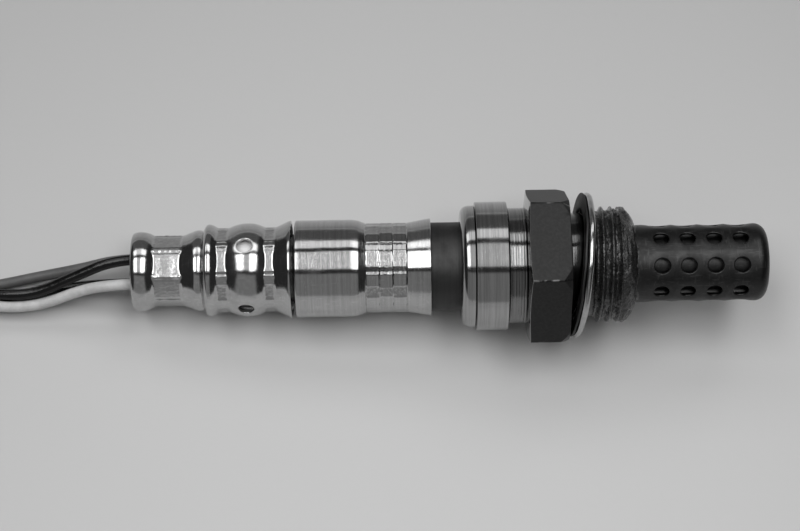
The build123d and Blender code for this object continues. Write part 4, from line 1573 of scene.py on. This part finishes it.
    def thread_radius_at(self, station: float, angle: float) -> float:
        """Radius of the thread under its compound.

        Args:
            station: Station of the point.
            angle: Its angle.

        Returns:
            Its radius.
        """
        phase = (station / self.pitch - angle / FULL_TURN) % 1.0
        from_crest = abs(phase - 0.5) * 2
        fall = min(max((from_crest - self.crest_share) / self.flank_share, 0.0), 1.0)
        ridge = self.thread_radius - self.thread_depth * fall
        lead_in = self.relief_radius + (station - self.thread_start) * self.lead_in_slope
        chamfer = (station - self.thread_end) / (self.end - self.thread_end)
        lead_out = self.thread_radius - chamfer * (self.thread_radius - self.end_radius)
        bare = max(self.relief_radius - 0.02, min(ridge, lead_in, lead_out))
        reach = rise(station, self.thread_start - 0.1, self.thread_start + self.compound_full)
        coarse, fine, strings = self.compound.read(station, angle)
        film = self.film + 0.1 * fine + 0.06 * coarse
        pool = self.relief_radius + self.pool + 0.42 * coarse + 0.3 * strings + 0.14 * fine
        pooled = max(bare + film, min(pool, self.thread_radius + self.pool_limit))
        limit = self.thread_radius + self.compound_limit
        if chamfer > 0:
            limit = lead_out + self.chamfer_limit
        return bare + (min(pooled, limit) - bare) * reach

    def shape(self, axis: SensorAxis) -> RoundMesh:
        """Lays out the shell as one closed turned body.

        Args:
            axis: The sensor's axis.

        Returns:
            The mesh.
        """
        beside = math.radians(self.corner_reach)
        corners = [FULL_TURN * (number + 0.5) / 6 for number in range(6)]
        angles = even_angles(self.columns) + [a + side * beside for a in corners for side in (-1, 1)]
        mesh = RoundMesh("sensor_shell_body", axis, sorted(angles))
        corner = self.shoulder_corner
        inner_radius = self.bore[-1][1]
        rounding = []
        for share in even_steps(0.0, 1.0, 0.125):
            along = corner * share**2
            up = corner * (1 - (1 - share) ** 2)
            rounding.append((self.start + along, self.shoulder_radius - corner + up))
        edge = self.edge
        outline = [(self.start, inner_radius), *rounding]
        outline += [
            (self.groove_start - edge, self.shoulder_radius),
            (self.groove_start, self.shoulder_radius - edge),
            (self.groove_start, self.groove_floor),
            (self.ring_start, self.groove_floor),
            (self.ring_start, self.ring_radius - edge),
            (self.ring_start + edge, self.ring_radius),
            (self.ring_end - edge, self.ring_radius),
            (self.ring_end, self.ring_radius - edge),
            (self.ring_end, self.neck_radius + edge),
        ]
        rear_inset, front_inset = self.ripple_inset
        for station in even_steps(self.ring_end + edge, self.neck_end - edge, self.ripple_step):
            turned = band(station, self.ring_end + rear_inset, self.neck_end - front_inset, 0.05)
            ripple = 0.5 - 0.5 * math.cos(FULL_TURN * station / self.ripple_pitch)
            outline.append((station, self.neck_radius - self.ripple_depth * ripple * turned))
        outline.append((self.neck_end, self.neck_radius + edge))
        loops = mesh.outline(outline)
        hexagon = self.hexagon_loops(mesh)
        groove = mesh.outline(
            [
                (self.front, self.relief_radius + self.relief_fillet),
                (self.front + self.fillet_middle, self.relief_radius + self.fillet_middle),
                (self.front + self.relief_fillet, self.relief_radius),
                (self.thread_start - self.relief_fillet, self.relief_radius),
            ]
        )
        stations = even_steps(self.thread_start - 0.2, self.end - 0.05, self.step)
        thread = [mesh.loop(lambda a, s=s: (s, self.thread_radius_at(s, a))) for s in stations]
        mesh.skin([loops[-1], *hexagon, groove[0]])
        mesh.skin([groove[-1], *thread])
        bore = [mesh.ring(station, radius) for station, radius in self.bore[:-1]]
        mesh.skin([thread[-1], *bore, loops[0]])
        return mesh


@dataclass(frozen=True)
class GasketRing(RoundPiece):
    """Ring of thin sheet folded in three layers, leaning a little on the relief groove."""

    slot: ClassVar[str] = "gasket_steel"
    node: ClassVar[str] = "gasket_ring"
    sharp: ClassVar[float] = 60.0
    rear: float = 67.78
    inner_radius: float = 8.75
    outer_radius: float = 11.4
    thickness: float = 1.5
    sheet: float = 0.3
    fold_gap: float = 0.1
    edge_step: float = 0.15
    lean: float = math.radians(4.0)
    tip_lean: float = math.radians(4.5)
    drop: float = 0.2
    wave_scale: float = 2.2
    wave_layer: float = 3.0
    ripple_scale: float = 6.0
    waves_along: Pair = (0.1, 0.03)
    waves_across: Pair = (0.06, 0.04)
    flat_step: float = 0.3
    columns: int = 180

    @property
    def station(self) -> float:
        """Station of its centre."""
        whole_lean = math.acos(math.cos(self.lean) * math.cos(self.tip_lean))
        return self.rear + math.sin(whole_lean) * self.outer_radius + self.thickness / 2

    @property
    def leaning(self) -> Matrix:
        """How it leans on the relief groove."""
        return Matrix.Rotation(-self.lean, 3, "Z") @ Matrix.Rotation(self.tip_lean, 3, "Y")

    def shaded_rear_side(self, graph: Graph, place: Socket) -> Wire:
        """Mask of the rear side, which faces the hexagon and is painted darker as shade.

        Args:
            graph: The material's graph.
            place: Station, distance across and distance above the axis.

        Returns:
            1 on the rear side and 0 elsewhere.
        """
        from_centre = graph.vector("SUBTRACT", place, (self.station, 0.0, -self.drop))
        along = graph.vector("MULTIPLY", from_centre, tuple(self.leaning @ Vector((1.0, 0.0, 0.0))))
        x, y, z = graph.split(along)
        return 1 - (x + y + z).rise(-0.5, -0.34)

    def middle_line(self) -> list[Place]:
        """Lays out the middle line of the folded sheet, from its thin layer to its bead.

        Returns:
            Points as (distance forwards, radius).
        """
        front = (self.thickness - self.sheet) / 2  # reach of the middle line, forwards and back
        fold = (self.sheet + self.fold_gap) / 2
        middle = 2 * fold - front
        bead = (front - middle) / 2
        fold_centre = self.inner_radius + self.sheet / 2 + fold
        bead_centre = self.outer_radius - self.sheet / 2 - bead
        rim = self.outer_radius - self.edge_step
        line = [(-front, r) for r in even_steps(fold_centre, rim, self.flat_step)]
        line.reverse()
        for turn in even_steps(0.0, math.pi, math.pi / 6)[1:]:
            line.append((fold - front - fold * math.cos(turn), fold_centre - fold * math.sin(turn)))
        line += [(middle, r) for r in even_steps(fold_centre, bead_centre, self.flat_step)[1:]]
        for turn in even_steps(0.0, math.pi, math.pi / 12)[1:]:
            line.append((middle + bead - bead * math.cos(turn), bead_centre + bead * math.sin(turn)))
        last = even_steps(self.inner_radius, bead_centre, self.flat_step)[:-1]
        line += [(front, r) for r in reversed(last)]
        return line

    def section(self) -> list[Place]:
        """Lays out the sheet's section, with rounded edges.

        Returns:
            The closed outline as (distance forwards, radius).
        """
        line = self.middle_line()
        half = self.sheet / 2
        left, right = [], []
        for number, (g, r) in enumerate(line):
            before, after = line[max(number - 1, 0)], line[min(number + 1, len(line) - 1)]
            heading = math.atan2(after[1] - before[1], after[0] - before[0])
            side_g, side_r = -math.sin(heading) * half, math.cos(heading) * half
            left.append((g + side_g, r + side_r))
            right.append((g - side_g, r - side_r))
        inset = half * 0.5
        (g, r) = line[0]
        start_cap = [(g - inset, r + inset * 0.5), (g + inset, r + inset * 0.5)]
        (g, r) = line[-1]
        end_cap = [(g - inset, r - inset * 0.5), (g + inset, r - inset * 0.5)]
        return [*left, *end_cap, *reversed(right), *start_cap]

    def shape(self, axis: SensorAxis) -> RoundMesh:
        """Lays out the gasket as one closed folded sheet.

        Args:
            axis: The sensor's axis.

        Returns:
            The mesh.
        """
        station, leaning = self.station, self.leaning
        mesh = RoundMesh("gasket_folded_sheet", axis, even_angles(self.columns))
        loops = []
        for g, r in self.section():
            first = len(mesh.points)
            for angle in mesh.angles:
                y, z = math.sin(angle), math.cos(angle)
                wave = rim_noise(angle, self.wave_scale, self.wave_layer)
                ripple = rim_noise(angle, self.ripple_scale, g * 0.8)
                share = rise(r, self.inner_radius + 0.8, self.outer_radius)
                wave_along, ripple_along = self.waves_along
                wave_across, ripple_across = self.waves_across
                forwards = g + (wave_along * wave + ripple_along * ripple) * share
                radius = r + (wave_across * wave + ripple_across * ripple) * share
                leant = leaning @ Vector((forwards, radius * y, radius * z))
                mesh.points.append(axis.place(station + leant.x, leant.y, leant.z - self.drop))
            loops.append(list(range(first, len(mesh.points))))
        mesh.skin([*loops, loops[0]])
        return mesh


@dataclass(frozen=True)
class ThreadCompound(RoundPiece):
    """Lumpy thread compound over the thread's end and round the root of the tube."""

    slot: ClassVar[str] = "thread_compound"
    node: ClassVar[str] = "thread_compound"
    sharp: ClassVar[float] = 75.0
    start: float = 75.6
    thread_end: float = 75.5
    thread_radius: float = 9.0
    shell_end: float = 77.0
    shell_end_radius: float = 8.0
    front: float = 78.2
    tube_radius: float = 6.06
    fullness: float = 2.6
    lumps: Lumps = Lumps((0.8, 4.5), (2.8, 14.0), (2.4, 2.0))
    lump_heights: tuple[float, float, float] = (0.32, 0.16, 0.2)
    least: float = 0.14
    film: float = 0.02
    sunk: float = 0.05
    columns: int = 220
    rows: int = 26

    def ground(self, station: float) -> float:
        """Shape of the chamfer and of the tube that the compound lies on.

        Args:
            station: A station.

        Returns:
            The radius there.
        """
        if station > self.shell_end:
            return self.tube_radius
        share = (station - self.thread_end) / (self.shell_end - self.thread_end)
        return self.thread_radius - share * (self.thread_radius - self.shell_end_radius)

    def front_edge(self, angle: float) -> float:
        """Station of the compound's ragged front edge at an angle."""
        return self.front + 0.6 * rim_noise(angle, 2.6, 1.0) + 0.3 * rim_noise(angle, 8.0, 4.0)

    def crest(self, station: float, angle: float) -> float:
        """Radius of the compound's lumpy surface.

        Args:
            station: Station of the point.
            angle: Its angle.

        Returns:
            Its radius.
        """
        share = min(max((station - self.start) / (self.front - self.start), 0.0), 1.0)
        fall = (self.thread_radius - self.tube_radius) * share**self.fullness
        reliefs = zip(self.lump_heights, self.lumps.read(station, angle))
        return self.thread_radius - fall + sum(height * level for height, level in reliefs)

    def shape(self, axis: SensorAxis) -> RoundMesh:
        """Lays out the compound as one closed lumpy ring.

        Args:
            axis: The sensor's axis.

        Returns:
            The mesh.
        """
        mesh = RoundMesh("thread_compound_smear", axis, even_angles(self.columns))
        loops = []
        for row in range(self.rows + 1):
            share = row / self.rows

            def place(angle: float, share: float = share) -> Place:
                """A point of the lumpy side, at a share of the way to the front."""
                station = self.start + share * (self.front_edge(angle) - self.start)
                thin = min(rise(share, 0.0, 0.12), rise(1 - share, 0.0, 0.25))
                ground = self.ground(station)
                height = max(self.crest(station, angle) - ground, self.least)
                return station, ground + self.film + height * thin

            loops.append(mesh.loop(place))
        bore = self.tube_radius - 0.03
        back = [
            mesh.loop(lambda a: (self.front_edge(a) - self.film, bore)),
            mesh.ring(self.shell_end + self.film, bore),
            mesh.ring(self.shell_end + self.film, self.shell_end_radius - self.sunk),
            mesh.ring(self.start + self.film, self.ground(self.start) - self.sunk),
        ]
        mesh.skin([*loops, *back, loops[0]])
        return mesh


@dataclass(frozen=True)
class ProtectionTube(RoundPiece):
    """Drawn tube with a rounded closed end and rows of punched gas holes."""

    slot: ClassVar[str] = "tube_steel"
    node: ClassVar[str] = "outer_protection_tube"
    sharp: ClassVar[float] = 50.0
    flange_station: float = 74.3
    flange_radius: float = 6.75
    radius: float = 6.05
    wall: float = 0.4
    end: float = 98.7
    corner: float = 1.8
    first_hole: float = 82.0
    hole_pitch: float = 4.1
    hole_columns: int = 4
    hole_rows: int = 8
    hole_radius: float = 1.2
    hole_angle: float = math.radians(21.6)
    hole_edge: float = 0.16
    row_columns: int = 18
    field_steps: int = 16
    dimple: float = 0.15
    dimple_width: float = 0.75
    wave: float = 0.02
    wave_scale: Pair = (0.4, 1.5)
    bow: float = 0.02
    root_gap: float = 0.1
    root_step: float = 0.5

    def surface(self, station: float, angle: float) -> float:
        """Shape of the tube, drawn in round each hole.

        Args:
            station: Station of the point.
            angle: Its angle.

        Returns:
            Its outer radius.
        """
        column = round((station - self.first_hole) / self.hole_pitch)
        column = min(max(column, 0), self.hole_columns - 1)
        along = station - self.first_hole - column * self.hole_pitch
        pitch = FULL_TURN / self.hole_rows
        turn = (angle - self.hole_angle + pitch / 2) % pitch - pitch / 2
        from_edge = max(math.hypot(along, turn * self.radius) - self.hole_radius, 0.0)
        wave = self.wave * wall_noise(station, angle, *self.wave_scale)
        return self.radius - self.dimple * bell(from_edge, self.dimple_width) + wave

    def shape(self, axis: SensorAxis) -> RoundMesh:
        """Lays out the tube as one closed sheet.

        Args:
            axis: The sensor's axis.

        Returns:
            The mesh.
        """
        count = self.hole_rows * self.row_columns
        first_angle = self.hole_angle - math.pi / self.hole_rows
        mesh = RoundMesh("outer_tube_perforated", axis, even_angles(count, first_angle))
        half = self.hole_pitch / 2
        start = self.first_hole - half
        length = self.hole_columns * self.hole_pitch
        stations = even_steps(start, start + length, self.hole_pitch / self.field_steps)
        outer, inner = mesh.sheet(stations, self.surface, self.wall)
        for column in range(self.hole_columns):
            rows = slice(column * self.field_steps, (column + 1) * self.field_steps + 1)
            hole_station = self.first_hole + column * self.hole_pitch
            punch = Punch(hole_station, self.hole_radius, self.hole_edge)
            for row in range(self.hole_rows):
                field = range(row * self.row_columns, (row + 1) * self.row_columns)
                punch.cut(
                    mesh, stations[rows], field, outer[rows], inner[rows], self.surface, self.wall
                )
        flange_front = self.flange_station + self.wall
        root = [
            mesh.ring(self.flange_station, self.radius - self.wall),
            mesh.ring(self.flange_station, self.flange_radius),
            mesh.ring(flange_front, self.flange_radius),
            mesh.ring(flange_front, self.radius + self.root_gap / 2),
        ]
        plain = even_steps(flange_front + self.root_gap, start - self.wall, self.root_step)
        root += [mesh.ring(s, self.radius) for s in plain]
        mesh.skin([inner[0], *root, outer[0]])
        turns = even_steps(0.0, QUARTER_TURN, QUARTER_TURN / 12)
        flat = self.radius - self.corner
        dome = [
            mesh.ring(
                self.end - self.corner * (1 - math.sin(turn)), flat + self.corner * math.cos(turn)
            )
            for turn in turns
        ]
        for share in (0.7, 0.4, 0.15):
            dome.append(mesh.ring(self.end - self.bow * (1 - share), flat * share))
        mesh.skin([outer[-1], *dome])
        mesh.pole(dome[-1], self.end - self.bow)
        inner_corner = self.corner - self.wall
        inner_dome = [
            mesh.ring(
                self.end - self.wall - inner_corner * (1 - math.sin(turn)),
                flat + inner_corner * math.cos(turn),
            )
            for turn in turns[::2]
        ]
        inner_dome.append(mesh.ring(self.end - self.wall, flat * 0.4))
        mesh.skin([inner[-1], *inner_dome])
        mesh.pole(inner_dome[-1], self.end - self.wall)
        return mesh


def route_object(name: str, points: Sequence[Point], diameter: float = 0.0) -> bpy.types.Object:
    """Makes a NURBS line, or a round cord along it.

    Args:
        name: Name of the piece.
        points: Its control points in millimetres.
        diameter: The cord's diameter in millimetres, or 0 for a bare line.

    Returns:
        The curve object, linked into the scene.
    """
    curve = bpy.data.curves.new(name, "CURVE")
    curve.dimensions = "3D"
    curve.resolution_u = 24
    spline = curve.splines.new("NURBS")
    spline.points.add(len(points) - 1)
    for knot, (x, y, z) in zip(spline.points, points):
        knot.co = (x * MM, y * MM, z * MM, 1.0)
    spline.order_u = 3
    spline.use_endpoint_u = True
    spline.use_smooth = True
    curve.bevel_depth = diameter / 2 * MM
    curve.bevel_resolution = 7
    curve.use_fill_caps = True
    made = bpy.data.objects.new(name, curve)
    bpy.context.scene.collection.objects.link(made)
    return made


@dataclass(frozen=True)
class Lead(Piece):
    """One insulated lead from the grommet to the boot of the harness sleeve."""

    node: str
    slot: str
    length: float
    points: tuple[Point, ...]
    diameter: float = 1.7

    def build(self, axis: SensorAxis, finishes: Finishes) -> bpy.types.Object:
        """Builds the lead as a round cord.

        Args:
            axis: The sensor's axis.
            finishes: Finishes by slot name.

        Returns:
            The cord.
        """
        made = route_object(f"{self.node}_cord", self.points, self.diameter)
        made.data.materials.append(finishes[self.slot].material(axis))
        self.seat(made, self.slot, self.node)
        start = Vector(self.points[0]) * MM
        return made


LEADS = (
    Lead(
        "lead_black_a", "lead_black", 33.7,
        (
            (-48.34, 1.14, 8.79), (-52.22, 1.14, 8.5), (-58.55, -0.95, 6.3), (-64.55, -3.0, 3.9),
            (-70.35, -3.0, 3.1), (-76.15, -2.05, 3.7), (-80.55, -2.05, 3.7),
        ),
    ),
    Lead(
        "lead_grey", "lead_grey", 33.4,
        (
            (-48.06, 2.45, 5.22), (-51.95, 2.45, 4.92), (-57.55, 1.35, 3.6), (-63.55, 0.75, 1.75),
            (-69.55, -0.4, 1.05), (-76.15, -2.05, 1.8), (-80.55, -2.05, 1.8),
        ),
    ),
    Lead(
        "lead_black_b", "lead_black", 33.1,
        (
            (-47.96, -1.14, 3.91), (-51.85, -1.14, 3.62), (-57.55, -1.05, 2.2), (-63.35, -1.9, 1.15),
            (-69.55, -2.95, 0.92), (-76.15, -3.95, 1.8), (-80.55, -3.95, 1.8),
        ),
    ),
    Lead(
        "lead_white", "lead_white", 33.4,
        (
            (-48.24, -2.45, 7.49), (-52.12, -2.45, 7.19), (-57.55, -2.85, 5.5), (-63.35, -4.5, 3.1),
            (-69.55, -4.9, 2.3), (-76.15, -3.95, 3.7), (-80.55, -3.95, 3.7),
        ),
    ),
)


@dataclass(frozen=True)
class HarnessSleeve(Piece):
    """Braided sleeve from the boot through one oval turn to the connector."""

    diameter: float = 4.8
    length: float = 317.5
    sleeve: tuple[Point, ...] = (
        (-86.55, -3.0, 2.75), (-91.75, -3.0, 2.75), (-98.05, -4.05, 2.8), (-105.55, -7.0, 2.87),
        (-111.55, -8.05, 2.9), (-116.75, -8.05, 2.9),
    )
    far_centre: Pair = (-187.05, 8.775)
    far_radius: float = 16.825
    near_centre: Pair = (-115.05, 11.2)
    near_radius: float = 14.4
    height: float = 2.9
    tail: tuple[Point, ...] = (
        (-127.05, -3.2, 2.9), (-132.25, -3.2, 2.9), (-139.25, -2.3, 3.75), (-147.05, 0.7, 5.5),
        (-154.65, 3.3, 6.3), (-159.85, 4.7, 6.3),
    )
    turn_step: float = 30.0
    strands: int = 32
    row: float = 0.45
    relief: float = 0.09
    half_lift: float = 0.5
    carried: tuple[str, ...] = (
        "sleeve_band_front", "hank_tie", "connector_housing", "connector_seal", "connector_lock",
        "connector_terminals",
    )

    def half_turn(self, centre: Pair, radius: float, start: float) -> list[Point]:
        """Control points of a half turn, clockwise seen from above, with one on each run beside it.

        Args:
            centre: Its centre.
            radius: Its radius.
            start: Angle from +X at which it starts, in degrees.

        Returns:
            The points in millimetres.
        """
        half_step = self.turn_step / 2
        reach = radius / math.cos(math.radians(half_step))
        x, y = centre
        points = []
        for number in range(round(180 / self.turn_step) + 2):
            angle = math.radians(start + half_step - self.turn_step * number)
            points.append((x + reach * math.cos(angle), y + reach * math.sin(angle), self.height))
        return points

    def route(self) -> list[Point]:
        """Control points of the whole sleeve in millimetres."""
        far = self.half_turn(self.far_centre, self.far_radius, -90.0)
        near = self.half_turn(self.near_centre, self.near_radius, 90.0)
        return [*self.sleeve, *far, *near, *self.tail]

    def path(self) -> list[Vector]:
        """Reads the sleeve's middle line from its route's spline.

        Returns:
            Evenly spaced points in metres.
        """
        line = route_object("harness_line", self.route())
        mesh = bpy.data.meshes.new_from_object(line)
        dense = [vertex.co.copy() for vertex in mesh.vertices]
        bpy.data.meshes.remove(mesh)
        bpy.data.curves.remove(line.data)
        places = [0.0]
        for before, after in zip(dense, dense[1:]):
            places.append(places[-1] + (after - before).length)
        points = []
        segment = 0
        for place in even_steps(0.0, places[-1], self.row * MM):
            while segment < len(dense) - 2 and places[segment + 1] < place:
                segment += 1
            span = places[segment + 1] - places[segment]
            points.append(dense[segment].lerp(dense[segment + 1], (place - places[segment]) / span))
        return points

    def build(self, axis: SensorAxis, finishes: Finishes) -> bpy.types.Object:
        """Builds the sleeve as a tube with a braid of crossing strands.

        Args:
            axis: The sensor's axis.
            finishes: Finishes by slot name.

        Returns:
            The cord.
        """
        path = self.path()
        middle_reach = self.diameter / 2 - self.relief / 2
        points: list[Point] = []
        faces: list[tuple[int, ...]] = []
        side = Vector((0.0, 1.0, 0.0))
        for row, middle in enumerate(path):
            heading = (path[min(row + 1, len(path) - 1)] - path[max(row - 1, 0)]).normalized()
            side = (side - heading * side.dot(heading)).normalized()
            up = heading.cross(side)
            for strand in range(self.strands):
                angle = FULL_TURN * strand / self.strands
                over = 1 if (row // 2 + strand // 2) % 2 else -1
                lift = over * (1 if (row + strand) % 2 else self.half_lift)
                reach = (middle_reach + self.relief / 2 * lift) * MM
                outwards = side * math.cos(angle) + up * math.sin(angle)
                points.append(tuple(middle + outwards * reach))
        count = self.strands
        for row in range(len(path) - 1):
            for strand in range(count):
                after = (strand + 1) % count
                rear, front = row * count, (row + 1) * count
                faces.append((rear + strand, rear + after, front + after, front + strand))
        faces.append(tuple(range(count)))
        faces.append(tuple(range(len(points) - count, len(points))))
        material = finishes["harness_braid"].material(axis)
        made = mesh_object("harness_braided_sleeve", points, faces, material, 80.0)
        self.seat(made, "harness_braid", "harness_sleeve", "harness_hank", "harness_tail")
        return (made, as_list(self.carried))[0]


@dataclass(frozen=True)
class PlainNodes(Piece):
    """Nodes shown as they come from the CAD, with the finish of their slot."""

    edge: float = 0.2
    least_turn: float = math.radians(40.0)
    weld_reach: float = 0.001
    rounded: tuple[str, ...] = ("connector_housing", "connector_lock", "hank_tie")

    def round_edges(self, shown: bpy.types.Object) -> None:
        """Rounds sharp edges, as moulded plastic has them.

        Args:
            shown: The node's object.
        """
        weld = shown.modifiers.new("weld", "WELD")
        weld.merge_threshold = self.weld_reach * MM
        bevel = shown.modifiers.new("edges", "BEVEL")
        bevel.width = self.edge * MM
        bevel.segments = 2
        bevel.angle_limit = self.least_turn

    def build(self, axis: SensorAxis, finishes: Finishes) -> None:
        """Dresses every node that no other piece stands for.

        Args:
            axis: The sensor's axis.
            finishes: Finishes by slot name.
        """
        for part in frame["record"]["subparts"]:
            shown = frame["nodes"][part["node"]]
            if shown.hide_render:
                continue
            shown.data.materials.clear()
            shown.data.materials.append(finishes[part["material_slot"]].material(axis))
            if part["node"] in self.rounded:
                self.round_edges(shown)
            log.info("%s: finished as %s", part["node"], part["material_slot"])


@dataclass(frozen=True)
class LightStrip:
    """A strip of the light above, by angles in degrees from straight up towards +Y.

    It is grey in its middle and bright in two windows towards its ends.
    """

    start: float
    end: float
    middle: float
    windows: float
    soft: float = 0.6


@dataclass(frozen=True)
class Studio:
    """Pale floor, the light round the object, and the camera."""

    floor_half: float = 1.5
    # Floor colours with painted light: brighter near the camera, darker far off and away from the
    # object.
    floor_near: float = 0.72
    floor_far: float = 0.45
    painted_falloff: float = 0.2
    floor_reach: float = 0.16
    painted_falloff_start: float = 0.02
    cloud_scale: float = 4.0
    cloud_share: float = 0.06
    grain_scale: float = 900.0
    grain_depth: float = 0.02
    backdrop: float = 0.5
    dark: float = 0.035
    strips: tuple[LightStrip, ...] = (
        LightStrip(-90.0, -31.0, 0.24, 0.24),
        LightStrip(-20.0, 22.0, 0.75, 4.8),
        LightStrip(32.0, 51.0, 1.25, 2.4),
        LightStrip(51.0, 90.0, 0.09, 0.09),
    )
    side_middle: float = -4.6
    window_start: float = 11.0
    window_end: float = 28.0
    window_soft: float = 1.5
    end_soft: float = 4.5
    low_sky: float = 4.0
    target: Point = (-7.567, 0.821, 8.0)
    azimuth: float = math.radians(12.459)
    elevation: float = math.radians(70.473)
    distance: float = 320.994
    lens: float = 91.77
    sensor_width: float = 36.0
    clip: Pair = (0.01, 20.0)
    roll: float = math.radians(12.278)

    def camera(self) -> bpy.types.Object:
        """Places the camera as the photograph was taken.

        Returns:
            The camera.
        """
        across = Vector((math.cos(self.azimuth), -math.sin(self.azimuth), 0.0))
        level = math.cos(self.elevation)
        back = Vector(
            (-math.sin(self.azimuth) * level, -math.cos(self.azimuth) * level, math.sin(self.elevation))
        )
        upwards = across.cross(-back)
        right = across * math.cos(self.roll) + upwards * math.sin(self.roll)
        top = upwards * math.cos(self.roll) - across * math.sin(self.roll)
        data = bpy.data.cameras.new("camera")
        data.sensor_fit = "HORIZONTAL"
        data.sensor_width = self.sensor_width
        data.lens = self.lens
        data.clip_start, data.clip_end = self.clip
        made = bpy.data.objects.new("camera", data)
        bpy.context.scene.collection.objects.link(made)
        place = (Vector(self.target) + back * self.distance) * MM
        turned = Matrix((right, top, back)).transposed().to_4x4()
        made.matrix_world = Matrix.Translation(place) @ turned
        bpy.context.scene.camera = made
        return made

    def floor(self) -> bpy.types.Object:
        """Lays the pale floor, with painted light: it is painted darker towards its far side and away
        from the object.

        Returns:
            The floor.
        """
        half = self.floor_half
        corners = [(-half, -half, 0.0), (half, -half, 0.0), (half, half, 0.0), (-half, half, 0.0)]
        graph = new_graph("pale_floor")
        place = graph.node("ShaderNodeTexCoord", {}, {}).outputs["Object"]
        width, depth, _ = graph.split(place)
        clouds = self.cloud_share * (graph.noise(place, self.cloud_scale, 3.0) - 0.5)
        # Painted light: brighter on the near side and darker on the far side, with faint random clouds.
        share = depth.rise(-self.floor_reach, self.floor_reach) + clouds
        grain = graph.noise(place, self.grain_scale, 2.0)
        outwards = graph.maths("SQRT", width * width + depth * depth)
        # Painted fall-off of light: the floor darkens away from the object.
        fall = outwards.rise(self.painted_falloff_start, self.floor_reach) * self.painted_falloff
        colour = graph.mix(share, self.floor_near, self.floor_far)
        graph.surface(
            {
                "Base Color": graph.mix(fall, colour, 0.0),
                "Roughness": 0.75 + 0.1 * grain,
                "Specular IOR Level": 0.2,
                "Normal": graph.bump(grain, self.grain_depth),
            }
        )
        made = mesh_object("floor", corners, [(0, 1, 2, 3)], graph.owner, 30.0)
        return made

    def world(self) -> None:
        """Lights the scene by the direction of the light, and shows the camera a pale backdrop."""
        graph = Graph(bpy.data.worlds.new("studio"))
        bpy.context.scene.world = graph.owner
        way = graph.node("ShaderNodeTexCoord", {}, {}).outputs["Generated"]
        x, y, z = graph.split(way)
        degrees = 360 / FULL_TURN
        angle = graph.maths("ARCTAN2", y, z) * degrees
        side = graph.maths("ARCSINE", x) * degrees
        off_side = graph.maths("ABSOLUTE", side - self.side_middle)
        soft = self.window_soft
        in_window = off_side.rise(self.window_start - soft, self.window_start + soft)
        in_reach = 1 - off_side.rise(self.window_end - soft, self.window_end + self.end_soft)
        light = graph.maths("ADD", 0.0, self.dark)
        for strip in self.strips:
            level = graph.blend(in_window, strip.middle, strip.windows)
            light = light + angle.band(strip.start, strip.end, strip.soft) * in_reach * level
        rays = graph.node("ShaderNodeLightPath", {}, {}).outputs
        elevation = graph.maths("ARCSINE", z) * degrees
        low = 1 - elevation.rise(self.low_sky / 2, self.low_sky)
        mirrored = graph.maths("MAXIMUM", rays["Is Glossy Ray"], rays["Is Transmission Ray"])
        seen = graph.maths("MAXIMUM", rays["Is Camera Ray"], mirrored * low)
        lamp = graph.node("ShaderNodeBackground", {}, {"Color": graph.mix(1.0, 0.0, light)})
        backdrop = graph.node("ShaderNodeBackground", {}, {"Color": self.backdrop})
        both = graph.node(
            "ShaderNodeMixShader", {}, {0: seen, 1: lamp.outputs[0], 2: backdrop.outputs[0]}
        )
        graph.node("ShaderNodeOutputWorld", {}, {"Surface": both.outputs[0]})

    def build(self) -> None:
        """Makes the floor and the light, and sets how the picture is shown."""
        self.floor()
        self.world()
        bpy.context.scene.view_settings.view_transform = "Standard"


def main() -> None:
    """Builds the scene in order: camera, cords, body pieces, remaining nodes and studio."""
    logging.basicConfig(level=logging.INFO, format="%(message)s")
    studio = Studio()
    studio.camera()
    filter_cover = FilterCover()
    rear_cover = RearCover()
    shell = SensorShell()
    axis = SensorAxis.from_frame(filter_cover.line.points[0][1])
    gasket = GasketRing()
    finishes = finish_table(filter_cover.bands, rear_cover.bands, shell, gasket.shaded_rear_side)
    for piece in (*LEADS, HarnessSleeve(), filter_cover, rear_cover, shell, gasket):
        piece.build(axis, finishes)
    for piece in (ThreadCompound(), ProtectionTube(), PlainNodes()):
        piece.build(axis, finishes)
    studio.build()


if __name__ == "__main__":
    main()
